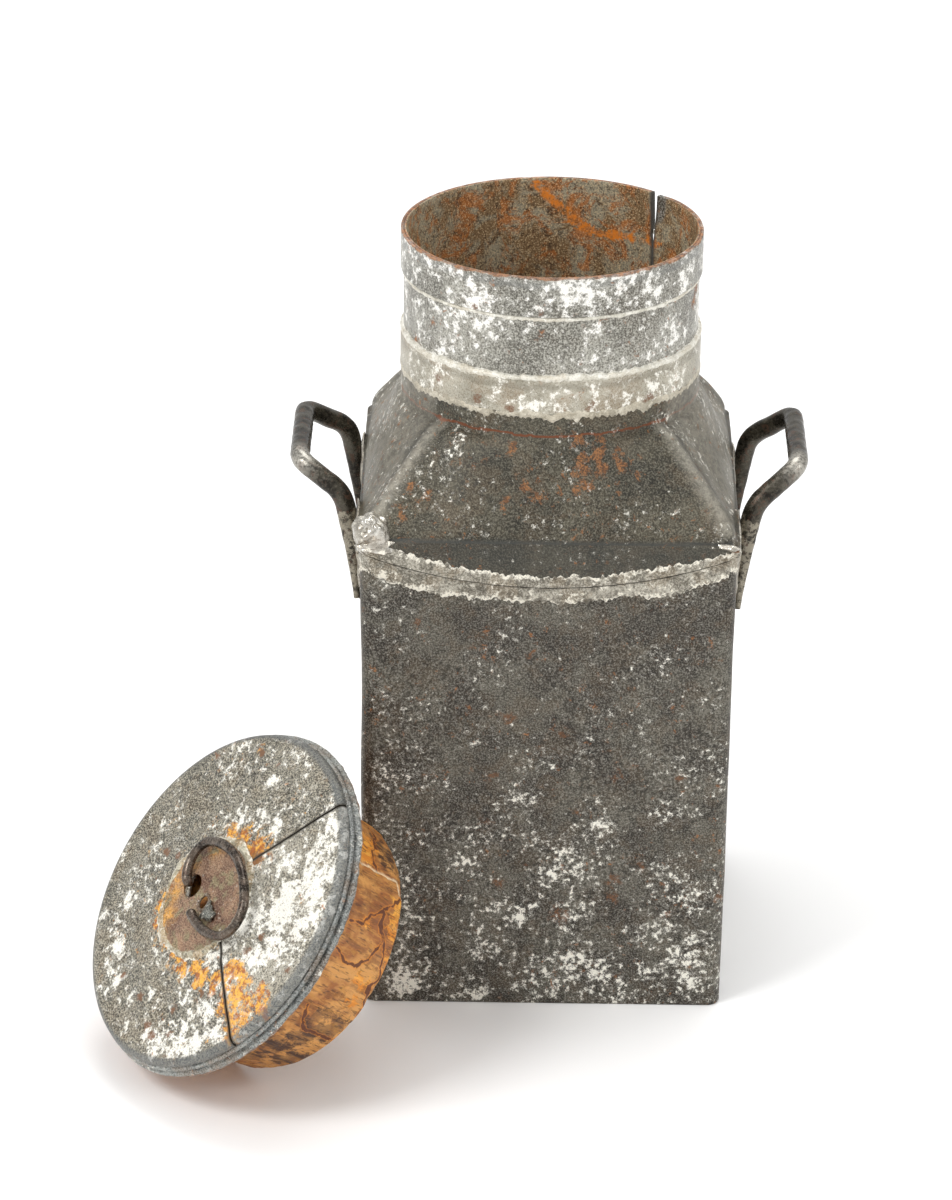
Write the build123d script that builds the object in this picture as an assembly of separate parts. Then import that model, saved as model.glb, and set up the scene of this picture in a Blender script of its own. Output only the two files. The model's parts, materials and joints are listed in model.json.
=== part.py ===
# A square tinplate milk can with a sloped shoulder, a round neck and two iron rod handles,
# and its loose lid: a tin cap on a tapered wooden stopper, with a wire pull ring.
# The origin is the middle of the can's base, on the floor. +Z is up and -Y is the front.
# The lid is off the can and leans on its front left corner, with the stopper's rim on the floor.
import os
from math import atan2, cos, degrees, radians, sin

from build123d import *

# Sheet and clearances
sheet = 1.2            # thickness of the can's tinplate
lap_gap = 0.05         # between soldered pieces that lie against each other

# Body: a folded square tube, a little wider at its top
body_height = 252.0
body_half_foot = 91.7      # half the width over the sheet at the floor
body_half_head = 94.0      # and at body_height
body_corner = 7.0
bottom_flange = 6.0
seam_width = 9.0
solder_build = 0.7         # how far a run of solder stands off the sheet

# Shoulder: a skirt lapped over the body, a slope and a short round collar
fold_height = 259.0
collar_foot = 309.7
collar_head = 321.0
lap_low = 236.0            # height of the skirt's edge in the middle of a side
lap_high = 254.0           # and at the corners
solder_drop = 9.0          # how far the solder runs down below the skirt's edge
ridge_angle = 10.0         # half the turn that each corner ridge takes on the collar
blob_radius = 8.5
blob_place = (-86.5, -89.5, 262.0)

# Neck
neck_radius = 74.5
neck_foot = 305.0
neck_head = 392.3
band_sheet = 1.5
rim_band_height = 20.3
base_band_height = 18.0
slit_azimuth = 45.0
slit_top_width = 2.8
slit_foot_width = 1.2
slit_depth = 24.0

# Handles: a round rod whose ends are hammered flat into straps
rod = 9.5
grip_reach = 126.0         # from the can's middle to the grip's centreline
grip_half = 32.3
grip_height = 277.5
leg_half = 45.0            # half the distance between the two straps
strap_foot_height = 210.0
strap_width = 15.0
right_drop = 4.5           # the right handle sits this much lower

# Lid, along its own axis from the stopper's end
stopper_end_radius = 67.9
stopper_root_radius = 72.3
stopper_length = 53.8
head_radius = 86.2
head_top = 61.9
cap_sheet = 1.0
face_edge_radius = 88.65
face_flat_radius = 33.0
face_flat_height = 67.4
hoop_radius = 91.3
plate_radius = 30.0
plate_centre = (-2.0, -2.5)
sector_apex = (0.0, 6.0)
sector_angles = (-37.3, 56.7)
sheet_split = 0.3

# Lid's place: its end circle's middle, the way its axis leans and how far the axis rises
lid_origin = (-120.5, -132.3, 53.9)
lid_azimuth = 58.7
lid_rise = 37.95

# Pull ring: an open oval of wire with one end bent down into the cap
wire = 5.0
ring_long = 31.4
ring_short = 19.5
ring_end_radius = 14.0
ring_turn = -13.9
ring_centre = (8.7, 5.1, 73.7)
ring_slope = (0.05, 0.1)
ring_open_angle = 261.8
stub_bend = 3.5
stub_bend_angle = 70.0
stub_length = 1.5
stub_hole_radius = 6.3
torn_hole = (0.2, -4.8)
torn_hole_radius = 3.6


def save(shape, node):
    export_step(shape, f"parts/{node}.step")


def body_half(height):
    share = height / body_height
    return body_half_foot + (body_half_head - body_half_foot) * share


# A closed line of eight pieces: four corner arcs and the four straight sides between them.
def square_wire(half, corner, height):
    reach = half - corner
    edges = []
    for quarter in range(4):
        turn = Rot(0, 0, 90 * quarter)
        edges.append(turn * CenterArc((reach, reach, height), corner, 0, 90))
        edges.append(turn * Line((reach, half, height), (-reach, half, height)))
    return Wire(edges)


# A circle cut into eight arcs, so that each matches one piece of the rounded square.
def circle_wire(radius, height):
    edges = []
    for quarter in range(4):
        middle = 45 + 90 * quarter
        edges.append(CenterArc((0, 0, height), radius, middle - ridge_angle, 2 * ridge_angle))
        edges.append(CenterArc((0, 0, height), radius, middle + ridge_angle, 90 - 2 * ridge_angle))
    return Wire(edges)


def between(lower, upper):
    return Solid.make_loft([lower, upper], ruled=True)


# A square block that follows the body's taper, with its sides `outside` the body's outer face.
def tapered_block(low, high, outside):
    return between(
        square_wire(body_half(low) + outside, body_corner + outside, low),
        square_wire(body_half(high) + outside, body_corner + outside, high),
    )


def tapered_tube(low, high, outside, inside):
    return tapered_block(low, high, outside) - tapered_block(low, high, inside)


def round_tube(outer, inner, low, high):
    ring = Circle(outer) - Circle(inner)
    return extrude(Pos(0, 0, low) * ring, high - low)


# All the space above the skirt's curved lower edge, moved up by `shift`.
# The edge is an arc on each side, lowest in the middle: the space is two crossed cylinders.
def above_lap(shift):
    half = body_half(fold_height) + lap_gap + sheet
    rise = lap_high - lap_low
    radius = (half * half + rise * rise) / (2 * rise)
    middle = Pos(0, 0, lap_low + shift + radius)
    along_y = middle * Rot(90, 0, 0) * Cylinder(radius, 400)
    along_x = middle * Rot(0, 90, 0) * Cylinder(radius, 400)
    return along_y + along_x


def body_pieces():
    wall = tapered_tube(0, body_height, 0, -sheet)
    save(wall, "body_wall")

    face = -sheet - lap_gap
    pan = tapered_block(0, bottom_flange, face) - tapered_block(sheet, bottom_flange, face - sheet)
    save(pan, "bottom_plate")

    fillet_low = bottom_flange + lap_gap
    save(tapered_tube(fillet_low, fillet_low + 1.8, face, face - sheet), "bottom_seam_solder")

    low = 3.0
    high = lap_low - solder_drop - 1
    near_low = body_half(low) + lap_gap
    near_high = body_half(high) + lap_gap
    outline = Polyline(
        (near_low, low),
        (near_low + solder_build, low),
        (near_high + solder_build, high),
        (near_high, high),
        close=True,
    )
    strip = extrude(Plane.YZ * make_face(outline), seam_width / 2, both=True)
    save(strip, "body_seam_solder")


def shoulder_shell():
    outside = lap_gap + sheet
    skirt = tapered_tube(lap_low - 5, fold_height, outside, lap_gap)
    half = body_half(fold_height)
    collar_radius = neck_radius + lap_gap
    slope_outer = between(
        square_wire(half + outside, body_corner + outside, fold_height),
        circle_wire(collar_radius + sheet, collar_foot),
    )
    slope_inner = between(
        square_wire(half + lap_gap, body_corner + lap_gap, fold_height),
        circle_wire(collar_radius, collar_foot),
    )
    collar = round_tube(collar_radius + sheet, collar_radius, collar_foot, collar_head)
    return skirt + (slope_outer - slope_inner) + collar, slope_outer


def shoulder_pieces():
    shell, slope_outer = shoulder_shell()
    save(shell & above_lap(0), "shoulder")

    run = tapered_tube(lap_low - solder_drop - 2, lap_high, lap_gap + solder_build, lap_gap)
    run = (run & above_lap(-solder_drop)) - above_lap(-lap_gap)
    save(run, "shoulder_solder")

    # The blob is a ball set into the front face beside the left corner, cut away inside the shoulder.
    outside = body_half(fold_height) + sheet
    ball = Pos(blob_place) * Sphere(blob_radius)
    skirt_core = between(
        square_wire(outside + 2 * lap_gap, body_corner + sheet, lap_low),
        square_wire(outside + 2 * lap_gap, body_corner + sheet, fold_height),
    )
    save(ball - slope_outer - skirt_core, "corner_solder")


def slit_tool():
    turn = radians(slit_azimuth)
    across = (-sin(turn), cos(turn), 0)
    out = (cos(turn), sin(turn), 0)
    plane = Plane(origin=(0, 0, 0), x_dir=across, z_dir=out).offset(neck_radius - 8)
    top = neck_head + 1
    outline = Polyline(
        (-slit_foot_width / 2, neck_head - slit_depth),
        (slit_foot_width / 2, neck_head - slit_depth),
        (slit_top_width / 2, top),
        (-slit_top_width / 2, top),
        close=True,
    )
    return extrude(plane * make_face(outline), 16)


def neck_pieces():
    slit = slit_tool()
    tube = round_tube(neck_radius, neck_radius - sheet, neck_foot, neck_head)
    save(tube - slit, "neck_tube")

    inner = neck_radius + lap_gap
    outer = inner + band_sheet
    rim_foot = neck_head - rim_band_height
    save(round_tube(outer, inner, rim_foot, neck_head) - slit, "neck_rim_band")
    save(round_tube(inner + solder_build, inner, rim_foot - 2.5, rim_foot - lap_gap) - slit, "neck_rim_solder")

    base_foot = collar_head + lap_gap
    base_head = base_foot + base_band_height
    save(round_tube(outer, inner, base_foot, base_head), "neck_base_band")
    solder_foot = base_head + lap_gap
    save(round_tube(inner + solder_build, inner, solder_foot, solder_foot + 2.5), "neck_base_solder")


# One handle on the +X side: the bent rod with the two flat straps that carry it.
def handle():
    elbow = (104.4, grip_height - 16.5)
    root = (101.0, grip_height - 33.5)
    path = FilletPolyline(
        (root[0], -leg_half, root[1]),
        (elbow[0], -leg_half, elbow[1]),
        (grip_reach, -grip_half, grip_height),
        (grip_reach, grip_half, grip_height),
        (elbow[0], leg_half, elbow[1]),
        (root[0], leg_half, root[1]),
        radius=[8, 9, 9, 8],
    )
    section = Plane(origin=path @ 0, z_dir=path % 0) * Circle(rod / 2)
    bar = sweep(section, path=path)
    foot = strap_foot_height
    near = body_half(foot) + 1.0
    skirt_face = body_half(fold_height) + sheet + 0.6
    outline = Polyline(
        (near, foot),
        (near + 3.5, foot),
        (near + 10.6, foot + 46),
        (near + 8.0, foot + 52),
        (skirt_face, foot + 48),
        (skirt_face, foot + 20),
        close=True,
    )
    strap = extrude(Plane.XZ * make_face(outline), strap_width / 2, both=True)
    straps = [Pos(0, side * leg_half, 0) * strap for side in (-1, 1)]
    return bar + straps[0] + straps[1]


# The solder under both straps, where they stand off the body below the skirt.
def handle_solder():
    low = strap_foot_height - 4
    high = strap_foot_height + 16
    near = body_half(high) + lap_gap
    pad = Pos(near + 0.35, 0, (low + high) / 2) * Box(0.7, strap_width + 5, high - low)
    return Compound([Pos(0, side * leg_half, 0) * pad for side in (-1, 1)])


def handle_pieces():
    lower = Pos(0, 0, -right_drop)
    save(lower * handle(), "handle_right")
    save(lower * handle_solder(), "handle_solder_right")
    save(mirror(handle(), Plane.YZ), "handle_left")
    save(mirror(handle_solder(), Plane.YZ), "handle_solder_left")


# The lid's own frame: x runs level across the cap, y up across it and z out of its face.
def lid_frame():
    turn = radians(lid_azimuth)
    rise = radians(lid_rise)
    level = (cos(turn), -sin(turn), 0)
    out = (-cos(rise) * sin(turn), -cos(rise) * cos(turn), sin(rise))
    return Plane(origin=lid_origin, x_dir=level, z_dir=out).location


def turned(*points):
    return revolve(Plane.XZ * make_face(Polyline(*points, close=True)), Axis.Z, 360)


# A wedge with its point at the apex, widened by `grow` past both of its sides.
def sector_wedge(grow):
    low, high = (radians(angle) for angle in sector_angles)
    middle = (low + high) / 2
    back = grow / sin((high - low) / 2)
    x = sector_apex[0] - back * cos(middle)
    y = sector_apex[1] - back * sin(middle)
    reach = 160
    outline = Polyline(
        (x, y),
        (x + reach * cos(low), y + reach * sin(low)),
        (x + 1.4 * reach * cos(middle), y + 1.4 * reach * sin(middle)),
        (x + reach * cos(high), y + reach * sin(high)),
        close=True,
    )
    return extrude(Pos(0, 0, 40) * make_face(outline), 50)


def ring_plane():
    slope_x, slope_y = ring_slope
    turn = radians(ring_turn)
    run = (cos(turn), sin(turn), slope_x * cos(turn) + slope_y * sin(turn))
    return Plane(origin=ring_centre, x_dir=run, z_dir=(-slope_x, -slope_y, 1))


# The oval is four arcs: a small one round each end and a large one along each side.
def ring_path():
    side_radius = (ring_long**2 + ring_short**2 - 2 * ring_long * ring_end_radius) / (
        2 * (ring_short - ring_end_radius)
    )
    end_middle = ring_long - ring_end_radius
    side_middle = side_radius - ring_short
    join = degrees(atan2(side_middle, end_middle))
    lower = CenterArc((0, side_middle), side_radius, ring_open_angle, 360 - join - ring_open_angle)
    right = CenterArc((end_middle, 0), ring_end_radius, -join, 2 * join)
    upper = CenterArc((0, -side_middle), side_radius, join, 180 - 2 * join)
    left = CenterArc((-end_middle, 0), ring_end_radius, 180 - join, 2 * join)
    start = left @ 1
    heading = left % 1

    def bend(angle):
        turn = radians(angle)
        return start + heading * (stub_bend * sin(turn)) - Vector(0, 0, stub_bend * (1 - cos(turn)))

    tip_turn = radians(stub_bend_angle)
    tip_way = heading * cos(tip_turn) - Vector(0, 0, sin(tip_turn))
    curve = ThreePointArc(start, bend(stub_bend_angle / 2), bend(stub_bend_angle))
    tip = Line(bend(stub_bend_angle), bend(stub_bend_angle) + tip_way * stub_length)
    return Wire([lower, right, upper, left, curve, tip])


# The hole round the ring's stub lies a little ahead of the bend and inside the oval.
def stub_hole():
    path = ring_plane() * ring_path()
    tip = path @ 1
    inward = Vector(*ring_centre) - tip
    middle = tip + inward.normalized() * 1.2
    return Pos(middle.X, middle.Y, 65) * Cylinder(stub_hole_radius, 12)


def lid_pieces():
    place = lid_frame()
    holes = stub_hole() + Pos(torn_hole[0], torn_hole[1], 65) * Cylinder(torn_hole_radius, 12)

    edge = face_edge_radius
    top = face_flat_height
    face = turned(
        (0, top),
        (face_flat_radius, top),
        (edge - 1.8, top - 2.5),
        (edge, top - 4.2),
        (edge, top - 6.8),
        (edge - cap_sheet, top - 6.8),
        (edge - cap_sheet, top - 4.6),
        (edge - 2.2, top - 2.5 - cap_sheet),
        (face_flat_radius, top - cap_sheet),
        (0, top - cap_sheet),
    )
    save(place * ((face - sector_wedge(sheet_split)) - holes), "lid_face_main")
    save(place * (face & sector_wedge(0)), "lid_face_sector")

    low = stopper_length
    rim = hoop_radius
    hoop = turned(
        (rim - 3.7, low + 8.7),
        (rim - 3.7, low + 6.5),
        (rim - 2.4, low + 6.5),
        (rim - 1.7, low + 4.4),
        (rim, low + 2.6),
        (rim, low),
        (rim - 1.1, low),
        (rim - 1.1, low + 2.1),
        (rim - 2.8, low + 3.8),
        (rim - 4.7, low + 6.2),
        (rim - 4.7, low + 8.7),
    )
    save(place * hoop, "lid_rim_hoop")

    plate_low = face_flat_height + lap_gap
    disc = Pos(plate_centre[0], plate_centre[1], plate_low)
    plate = disc * extrude(Circle(plate_radius), cap_sheet)
    save(place * (plate - holes), "lid_centre_plate")
    bead = disc * extrude(Circle(plate_radius + 2.5) - Circle(plate_radius + lap_gap), 0.6)
    save(place * bead, "lid_centre_solder")

    stopper = turned(
        (0, 0),
        (stopper_end_radius - 1.2, 0),
        (stopper_end_radius, 1.2),
        (stopper_root_radius, low - 0.4),
        (stopper_root_radius, low + 0.6),
        (head_radius, low + 0.6),
        (head_radius, head_top),
        (0, head_top),
    )
    save(place * stopper, "lid_stopper")

    path = ring_path()
    section = Plane(origin=path @ 0, z_dir=path % 0) * Circle(wire / 2)
    ring = sweep(section, path=path)
    save(place * (ring_plane() * ring), "lid_ring")


os.makedirs("parts", exist_ok=True)
body_pieces()
shoulder_pieces()
neck_pieces()
handle_pieces()
lid_pieces()
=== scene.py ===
import json
from math import atan2, cos, degrees, pi, radians, sin, sqrt

import bpy
import numpy as np
from mathutils import Matrix, Vector


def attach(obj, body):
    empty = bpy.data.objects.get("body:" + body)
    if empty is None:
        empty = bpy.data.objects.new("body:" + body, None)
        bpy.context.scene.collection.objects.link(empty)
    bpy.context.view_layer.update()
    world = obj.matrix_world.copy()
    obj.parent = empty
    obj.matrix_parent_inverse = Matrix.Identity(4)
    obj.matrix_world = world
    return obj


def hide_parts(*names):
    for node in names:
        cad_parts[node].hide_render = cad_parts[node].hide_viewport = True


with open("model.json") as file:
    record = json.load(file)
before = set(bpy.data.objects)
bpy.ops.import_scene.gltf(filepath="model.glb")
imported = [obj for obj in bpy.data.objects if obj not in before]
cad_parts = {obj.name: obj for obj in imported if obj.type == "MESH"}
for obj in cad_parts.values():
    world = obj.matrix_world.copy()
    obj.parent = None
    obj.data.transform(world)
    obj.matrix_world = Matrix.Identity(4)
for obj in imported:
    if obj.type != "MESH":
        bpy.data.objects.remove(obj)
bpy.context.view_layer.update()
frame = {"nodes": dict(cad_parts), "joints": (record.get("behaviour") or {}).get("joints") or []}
mm = 0.001
joints = {joint["name"]: joint for joint in frame["joints"]}


camera = {"turn": 0.44, "rise": 23.88, "roll": 0.564, "distance": 2.7, "lens": 156.5,
          "target": (-0.0365, -0.0012, 0.1872)}
studio = {"sky": 0.78, "floor": 0.95,
          "lamps": [("keyLamp", (-1.6, -1.3, 2.1), 0.9, 34), ("fillLamp", (1.9, -0.9, 1.5), 0.8, 12),
                    ("topLamp", (0.1, 0.8, 2.6), 1.5, 27)]}


# The camera looks at its target from `distance` away, turned round it, raised and rolled by degrees.
def setCamera():
    turn, rise, roll = (radians(camera[key]) for key in ("turn", "rise", "roll"))
    back = Vector((sin(turn) * cos(rise), -cos(turn) * cos(rise), sin(rise)))
    level = (-back).cross(Vector((0, 0, 1))).normalized()
    up = level.cross(-back)
    x = level * cos(roll) + up * sin(roll)
    y = up * cos(roll) - level * sin(roll)
    data = bpy.data.cameras.new("camera")
    data.lens = camera["lens"]
    data.sensor_width = 36
    data.clip_end = 30
    made = bpy.data.objects.new("camera", data)
    bpy.context.scene.collection.objects.link(made)
    place = Matrix((x, y, back)).transposed().to_4x4()
    place.translation = Vector(camera["target"]) + back * camera["distance"]
    made.matrix_world = place
    bpy.context.scene.camera = made


# A pale room: an even sky, square lamps that face the can, and a white floor.
def setStudio():
    world = bpy.data.worlds.new("paleRoom")
    bpy.context.scene.world = world
    world.use_nodes = True
    world.node_tree.nodes["Background"].inputs["Color"].default_value = (1, 0.995, 0.985, 1)
    world.node_tree.nodes["Background"].inputs["Strength"].default_value = studio["sky"]
    for name, place, size, power in studio["lamps"]:
        data = bpy.data.lights.new(name, "AREA")
        data.size = size
        data.energy = power
        lamp = bpy.data.objects.new(name, data)
        lamp.location = place
        lamp.rotation_euler = (Vector((0, 0, 0.15)) - Vector(place)).to_track_quat("-Z", "Y").to_euler()
        bpy.context.scene.collection.objects.link(lamp)
    bpy.context.scene.view_settings.view_transform = "Standard"
    mesh = bpy.data.meshes.new("floor")
    mesh.from_pydata([(-6, -6, 0), (6, -6, 0), (6, 6, 0), (-6, 6, 0)], [], [(0, 1, 2, 3)])
    floor = bpy.data.objects.new("floor", mesh)
    bpy.context.scene.collection.objects.link(floor)
    paint = bpy.data.materials.new("paleFloor")
    paint.use_nodes = True
    shader = paint.node_tree.nodes["Principled BSDF"]
    shader.inputs["Base Color"].default_value = (studio["floor"],) * 3 + (1,)
    shader.inputs["Roughness"].default_value = 0.7
    shader.inputs["Specular IOR Level"].default_value = 0.2
    mesh.materials.append(paint)


# A colour as seen on a screen, 0 to 255, turned to linear light.
def tone(red, green, blue):
    share = np.array([red, green, blue]) / 255.0
    linear = np.where(share <= 0.04045, share / 12.92, ((share + 0.055) / 1.055) ** 2.4)
    return (*linear.tolist(), 1.0)


# One shader node with its settings; each input is either linked to a socket or set to a value.
def put(tree, kind, inputs=None, **settings):
    made = tree.nodes.new("ShaderNode" + kind)
    for key, value in settings.items():
        setattr(made, key, value)
    for key, value in (inputs or {}).items():
        if isinstance(value, bpy.types.NodeSocket):
            tree.links.new(value, made.inputs[key])
        else:
            made.inputs[key].default_value = value
    return made


# An empty material and its node tree.
def startMaterial(name):
    made = bpy.data.materials.new(name)
    made.use_nodes = True
    made.node_tree.nodes.clear()
    return made, made.node_tree


# The surface shader: colour, roughness and metal, with a bump as deep as the height times its depth.
def endMaterial(tree, colour, roughness, metal, height, bump):
    normal = put(tree, "Bump", {"Height": height, "Strength": bump["strength"],
                                "Distance": bump["depth"]})
    shader = put(tree, "BsdfPrincipled", {"Base Color": colour, "Roughness": roughness, "Metallic": metal,
                                          "Normal": normal.outputs[0]})
    out = put(tree, "OutputMaterial")
    tree.links.new(shader.outputs[0], out.inputs[0])


# The object's own coordinates, in metres.
def objectPlace(tree):
    return put(tree, "TexCoord").outputs["Object"]


# Cloudy noise about 0.5 with bumps `size` metres across; a stretch below 1 draws it out along an axis.
def grain(tree, where, size, detail=4.0, rough=0.55, warp=0.0, stretch=None):
    if stretch:
        where = put(tree, "Mapping", {"Vector": where, "Scale": stretch}).outputs[0]
    return put(tree, "TexNoise", {"Vector": where, "Scale": 1.0 / size, "Detail": detail,
                                  "Roughness": rough, "Distortion": warp}).outputs[0]


# A straight ramp: `start` below the low value, `end` above the high one, even in between.
def ramp(tree, value, low, high, start=0.0, end=1.0):
    return put(tree, "MapRange", {"Value": value, "From Min": low, "From Max": high, "To Min": start,
                                  "To Max": end}).outputs[0]


# One sum on two values, named by its kind.
def sums(tree, kind, first, second):
    return put(tree, "Math", {0: first, 1: second}, operation=kind).outputs[0]


# The product of two values.
def times(tree, first, second):
    return sums(tree, "MULTIPLY", first, second)


# The sum of two values.
def plus(tree, first, second):
    return sums(tree, "ADD", first, second)


# A noise's usual range, where nearly all its values lie, stretched to run from `start` to `end`.
def span(tree, noise, start=0.0, end=1.0):
    return ramp(tree, noise, 0.42, 0.58, start, end)


# The same, from minus `reach` to plus `reach`.
def swing(tree, noise, reach):
    return span(tree, noise, -reach, reach)


# The first colour at share 0, the second at share 1, an even mix between.
def blend(tree, share, first, second):
    return put(tree, "Mix", {0: share, 6: first, 7: second}, data_type="RGBA").outputs[2]


# A colour laid over another, from nothing where the value is low to `share` where it's high.
def layer(tree, colour, value, low, high, share, over):
    return blend(tree, ramp(tree, value, low, high, 0.0, share), colour, over)


# One coordinate of a place.
def axisOf(tree, where, axis):
    return put(tree, "SeparateXYZ", {0: where}).outputs[axis]


# A mask stored on the piece's own points.
def mark(tree, name):
    return put(tree, "Attribute", attribute_name=name).outputs["Fac"]


# Thin level bands: each is full in its middle and fades to nothing at its low and high edge.
def bands(tree, height, size, places):
    wobble = swing(tree, grain(tree, size, 0.008, 4), 0.0005)
    height = plus(tree, height, wobble)
    found = None
    for low, high, strength in places:
        middle, half = (low + high) / 2 * mm, (high - low) / 2 * mm
        off = sums(tree, "ABSOLUTE", sums(tree, "SUBTRACT", height, middle), 0)
        share = ramp(tree, off, half, half * 0.4, 0.0, strength)
        found = share if found is None else sums(tree, "MAXIMUM", found, share)
    return found


# The neck's inside, within its wall's radius: a brown film with specks, pits and orange streaks.
def insideFilm(tree, where, inner, fine, medium):
    flat = put(tree, "CombineXYZ", {0: axisOf(tree, where, 0), 1: axisOf(tree, where, 1)}).outputs[0]
    reach = put(tree, "VectorMath", {0: flat}, operation="LENGTH").outputs["Value"]
    within = ramp(tree, reach, inner["radius"] * mm, (inner["radius"] - 0.2) * mm)
    cloud = ramp(tree, grain(tree, where, 0.022, 6, 0.7, 0.5), 0.45, 0.55)
    old = blend(tree, cloud, inner["dark"], inner["light"])
    worn = grain(tree, where, 0.014, 8, 0.75, 0.6)
    old = layer(tree, old, worn, 0.5, 0.56, 0.8, inner["rust"])
    old = layer(tree, old, fine, 0.54, 0.6, 0.7, inner["speck"])
    old = layer(tree, old, fine, 0.46, 0.4, 0.6, inner["pit"])
    old = layer(tree, old, medium, 0.46, 0.4, 0.6, inner["pit"])
    glow = plus(tree, mark(tree, "streak"), swing(tree, worn, 0.5))
    glow = ramp(tree, glow, 0.4, 0.85, 0.0, 0.95)
    old = blend(tree, times(tree, glow, ramp(tree, medium, 0.42, 0.56, 0.3, 1.0)), old,
                inner["streak"])
    return within, old


# Old tinplate: a dark cloudy ground, fine pale grain, ragged flakes of bright tin and spots of rust.
def agedTin(name, look, placeOf=objectPlace):
    made, tree = startMaterial(name)
    where = placeOf(tree)
    height = axisOf(tree, where, 2)
    cloud = span(tree, grain(tree, where, look["cloudSize"], 4, 0.6))
    colour = blend(tree, cloud, look["dark"], look["light"])
    for x, y, z, radius in look.get("glowPlaces", []):
        gap = put(tree, "VectorMath", {0: where, 1: (x * mm, y * mm, z * mm)},
                  operation="DISTANCE").outputs["Value"]
        share = ramp(tree, gap, radius * mm, radius * 0.3 * mm)
        share = times(tree, share, span(tree, grain(tree, where, 0.006, 6, 0.7), 0.2, 1.0))
        colour = blend(tree, share, colour, look["glow"])
    stain = grain(tree, where, look["cloudSize"] * 0.55, 3, 0.6, 0.4)
    colour = layer(tree, colour, stain, 0.5, 0.6, look["warmth"], look["warm"])
    fine = grain(tree, where, look["grainSize"], 5, 0.7)
    medium = grain(tree, where, look["grainSize"] * 4, 6, 0.75)
    colour = layer(tree, colour, fine, 0.5, 0.58, look["grainShare"], look["grainTone"])
    colour = layer(tree, colour, fine, 0.48, 0.41, look["pitShare"], look["pit"])
    colour = layer(tree, colour, medium, 0.47, 0.4, look["pitShare"], look["pit"])
    if "bands" in look:
        colour = blend(tree, bands(tree, height, where, look["bands"]), colour, look["bandTone"])
    # Pale tone on the shoulder's corner ridges and side facets: partly rubbed tin, partly a painted
    # highlight along the ridge crests.
    if "rubAndHighlight" in look:
        colour = blend(tree, times(tree, mark(tree, "rubAndHighlight"), span(tree, medium, 0.55, 1.0)),
                       colour, look["rubAndHighlight"])
    # A darker, smoother bluish tone on the front skirt, and a painted shade line along the fold's crease.
    if "calmAndCreaseShade" in look:
        colour = blend(tree, mark(tree, "calmAndCreaseShade"), colour, look["calmAndCreaseShade"])
    flake = grain(tree, where, look["flakeSize"], 9, 0.76)
    crowd = grain(tree, where, look["crowdSize"], 3, 0.5)
    lift = swing(tree, crowd, look["crowd"])
    if "fade" in look:
        low, high, start, end = look["fade"]
        lift = plus(tree, lift, ramp(tree, height, low * mm, high * mm, start, end))
    lift = plus(tree, lift, times(tree, mark(tree, "pale"), look["paleLift"]))
    if "calmAndCreaseShade" in look:
        lift = plus(tree, lift, times(tree, mark(tree, "calmAndCreaseShade"), -0.07))
    level = plus(tree, flake, lift)
    flakes = ramp(tree, level, look["flakeStart"], look["flakeStart"] + 0.025)
    film = ramp(tree, level, look["flakeStart"] - 0.06, look["flakeStart"] + 0.02, 0.0, 0.3)
    colour = blend(tree, film, colour, look["flakeTone"])
    colour = blend(tree, times(tree, flakes, look["flakeShare"]), colour, look["flakeTone"])
    speckle = grain(tree, where, look["rustSize"], 7, 0.75, 0.4)
    freckles = ramp(tree, speckle, look["rustStart"], look["rustStart"] + 0.03)
    crowd = grain(tree, where, look["rustSize"] * 6, 2, 0.5)
    freckles = times(tree, freckles, ramp(tree, crowd, 0.48, 0.56))
    rust = times(tree, freckles, 0.8)
    spots = plus(tree, mark(tree, "rust"), swing(tree, speckle, 0.42))
    broken = ramp(tree, fine, 0.45, 0.53, look["solid"], 1.0)
    rust = sums(tree, "MAXIMUM", rust, times(tree, ramp(tree, spots, 0.4, 0.8, 0.0, 0.95), broken))
    brown = plus(tree, mark(tree, "brown"), swing(tree, speckle, 0.38))
    brown = times(tree, ramp(tree, brown, 0.4, 0.75, 0.0, 0.9), broken)
    if "rustBands" in look:
        rust = sums(tree, "MAXIMUM", rust, bands(tree, height, where, look["rustBands"]))
    rustTone = blend(tree, ramp(tree, medium, 0.44, 0.56), look["rustDark"], look["rustLight"])
    colour = blend(tree, rust, colour, rustTone)
    colour = blend(tree, brown, colour, look["brown"])
    rust = sums(tree, "MAXIMUM", rust, brown)
    if "inside" in look:
        within, old = insideFilm(tree, where, look["inside"], fine, medium)
        colour = blend(tree, within, colour, old)
        rust = sums(tree, "MAXIMUM", rust, times(tree, within, 0.8))
    if "rolled" in look:
        colour = blend(tree, times(tree, mark(tree, "rolled"), 0.68), colour, look["rolled"])
    colour = blend(tree, mark(tree, "seam"), colour, look["pit"])
    roughness = span(tree, fine, look["roughness"] - 0.1, look["roughness"] + 0.14)
    roughness = plus(tree, roughness, times(tree, rust, 0.35))
    metal = ramp(tree, rust, 0.0, 1.0, look["metal"], 0.0)
    relief = plus(tree, times(tree, flakes, 0.25), fine)
    relief = plus(tree, relief, times(tree, medium, 1.2))
    relief = plus(tree, relief, times(tree, rust, 0.2))
    endMaterial(tree, colour, roughness, metal, relief, {"strength": look["bump"], "depth": 0.0008})
    return made


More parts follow.
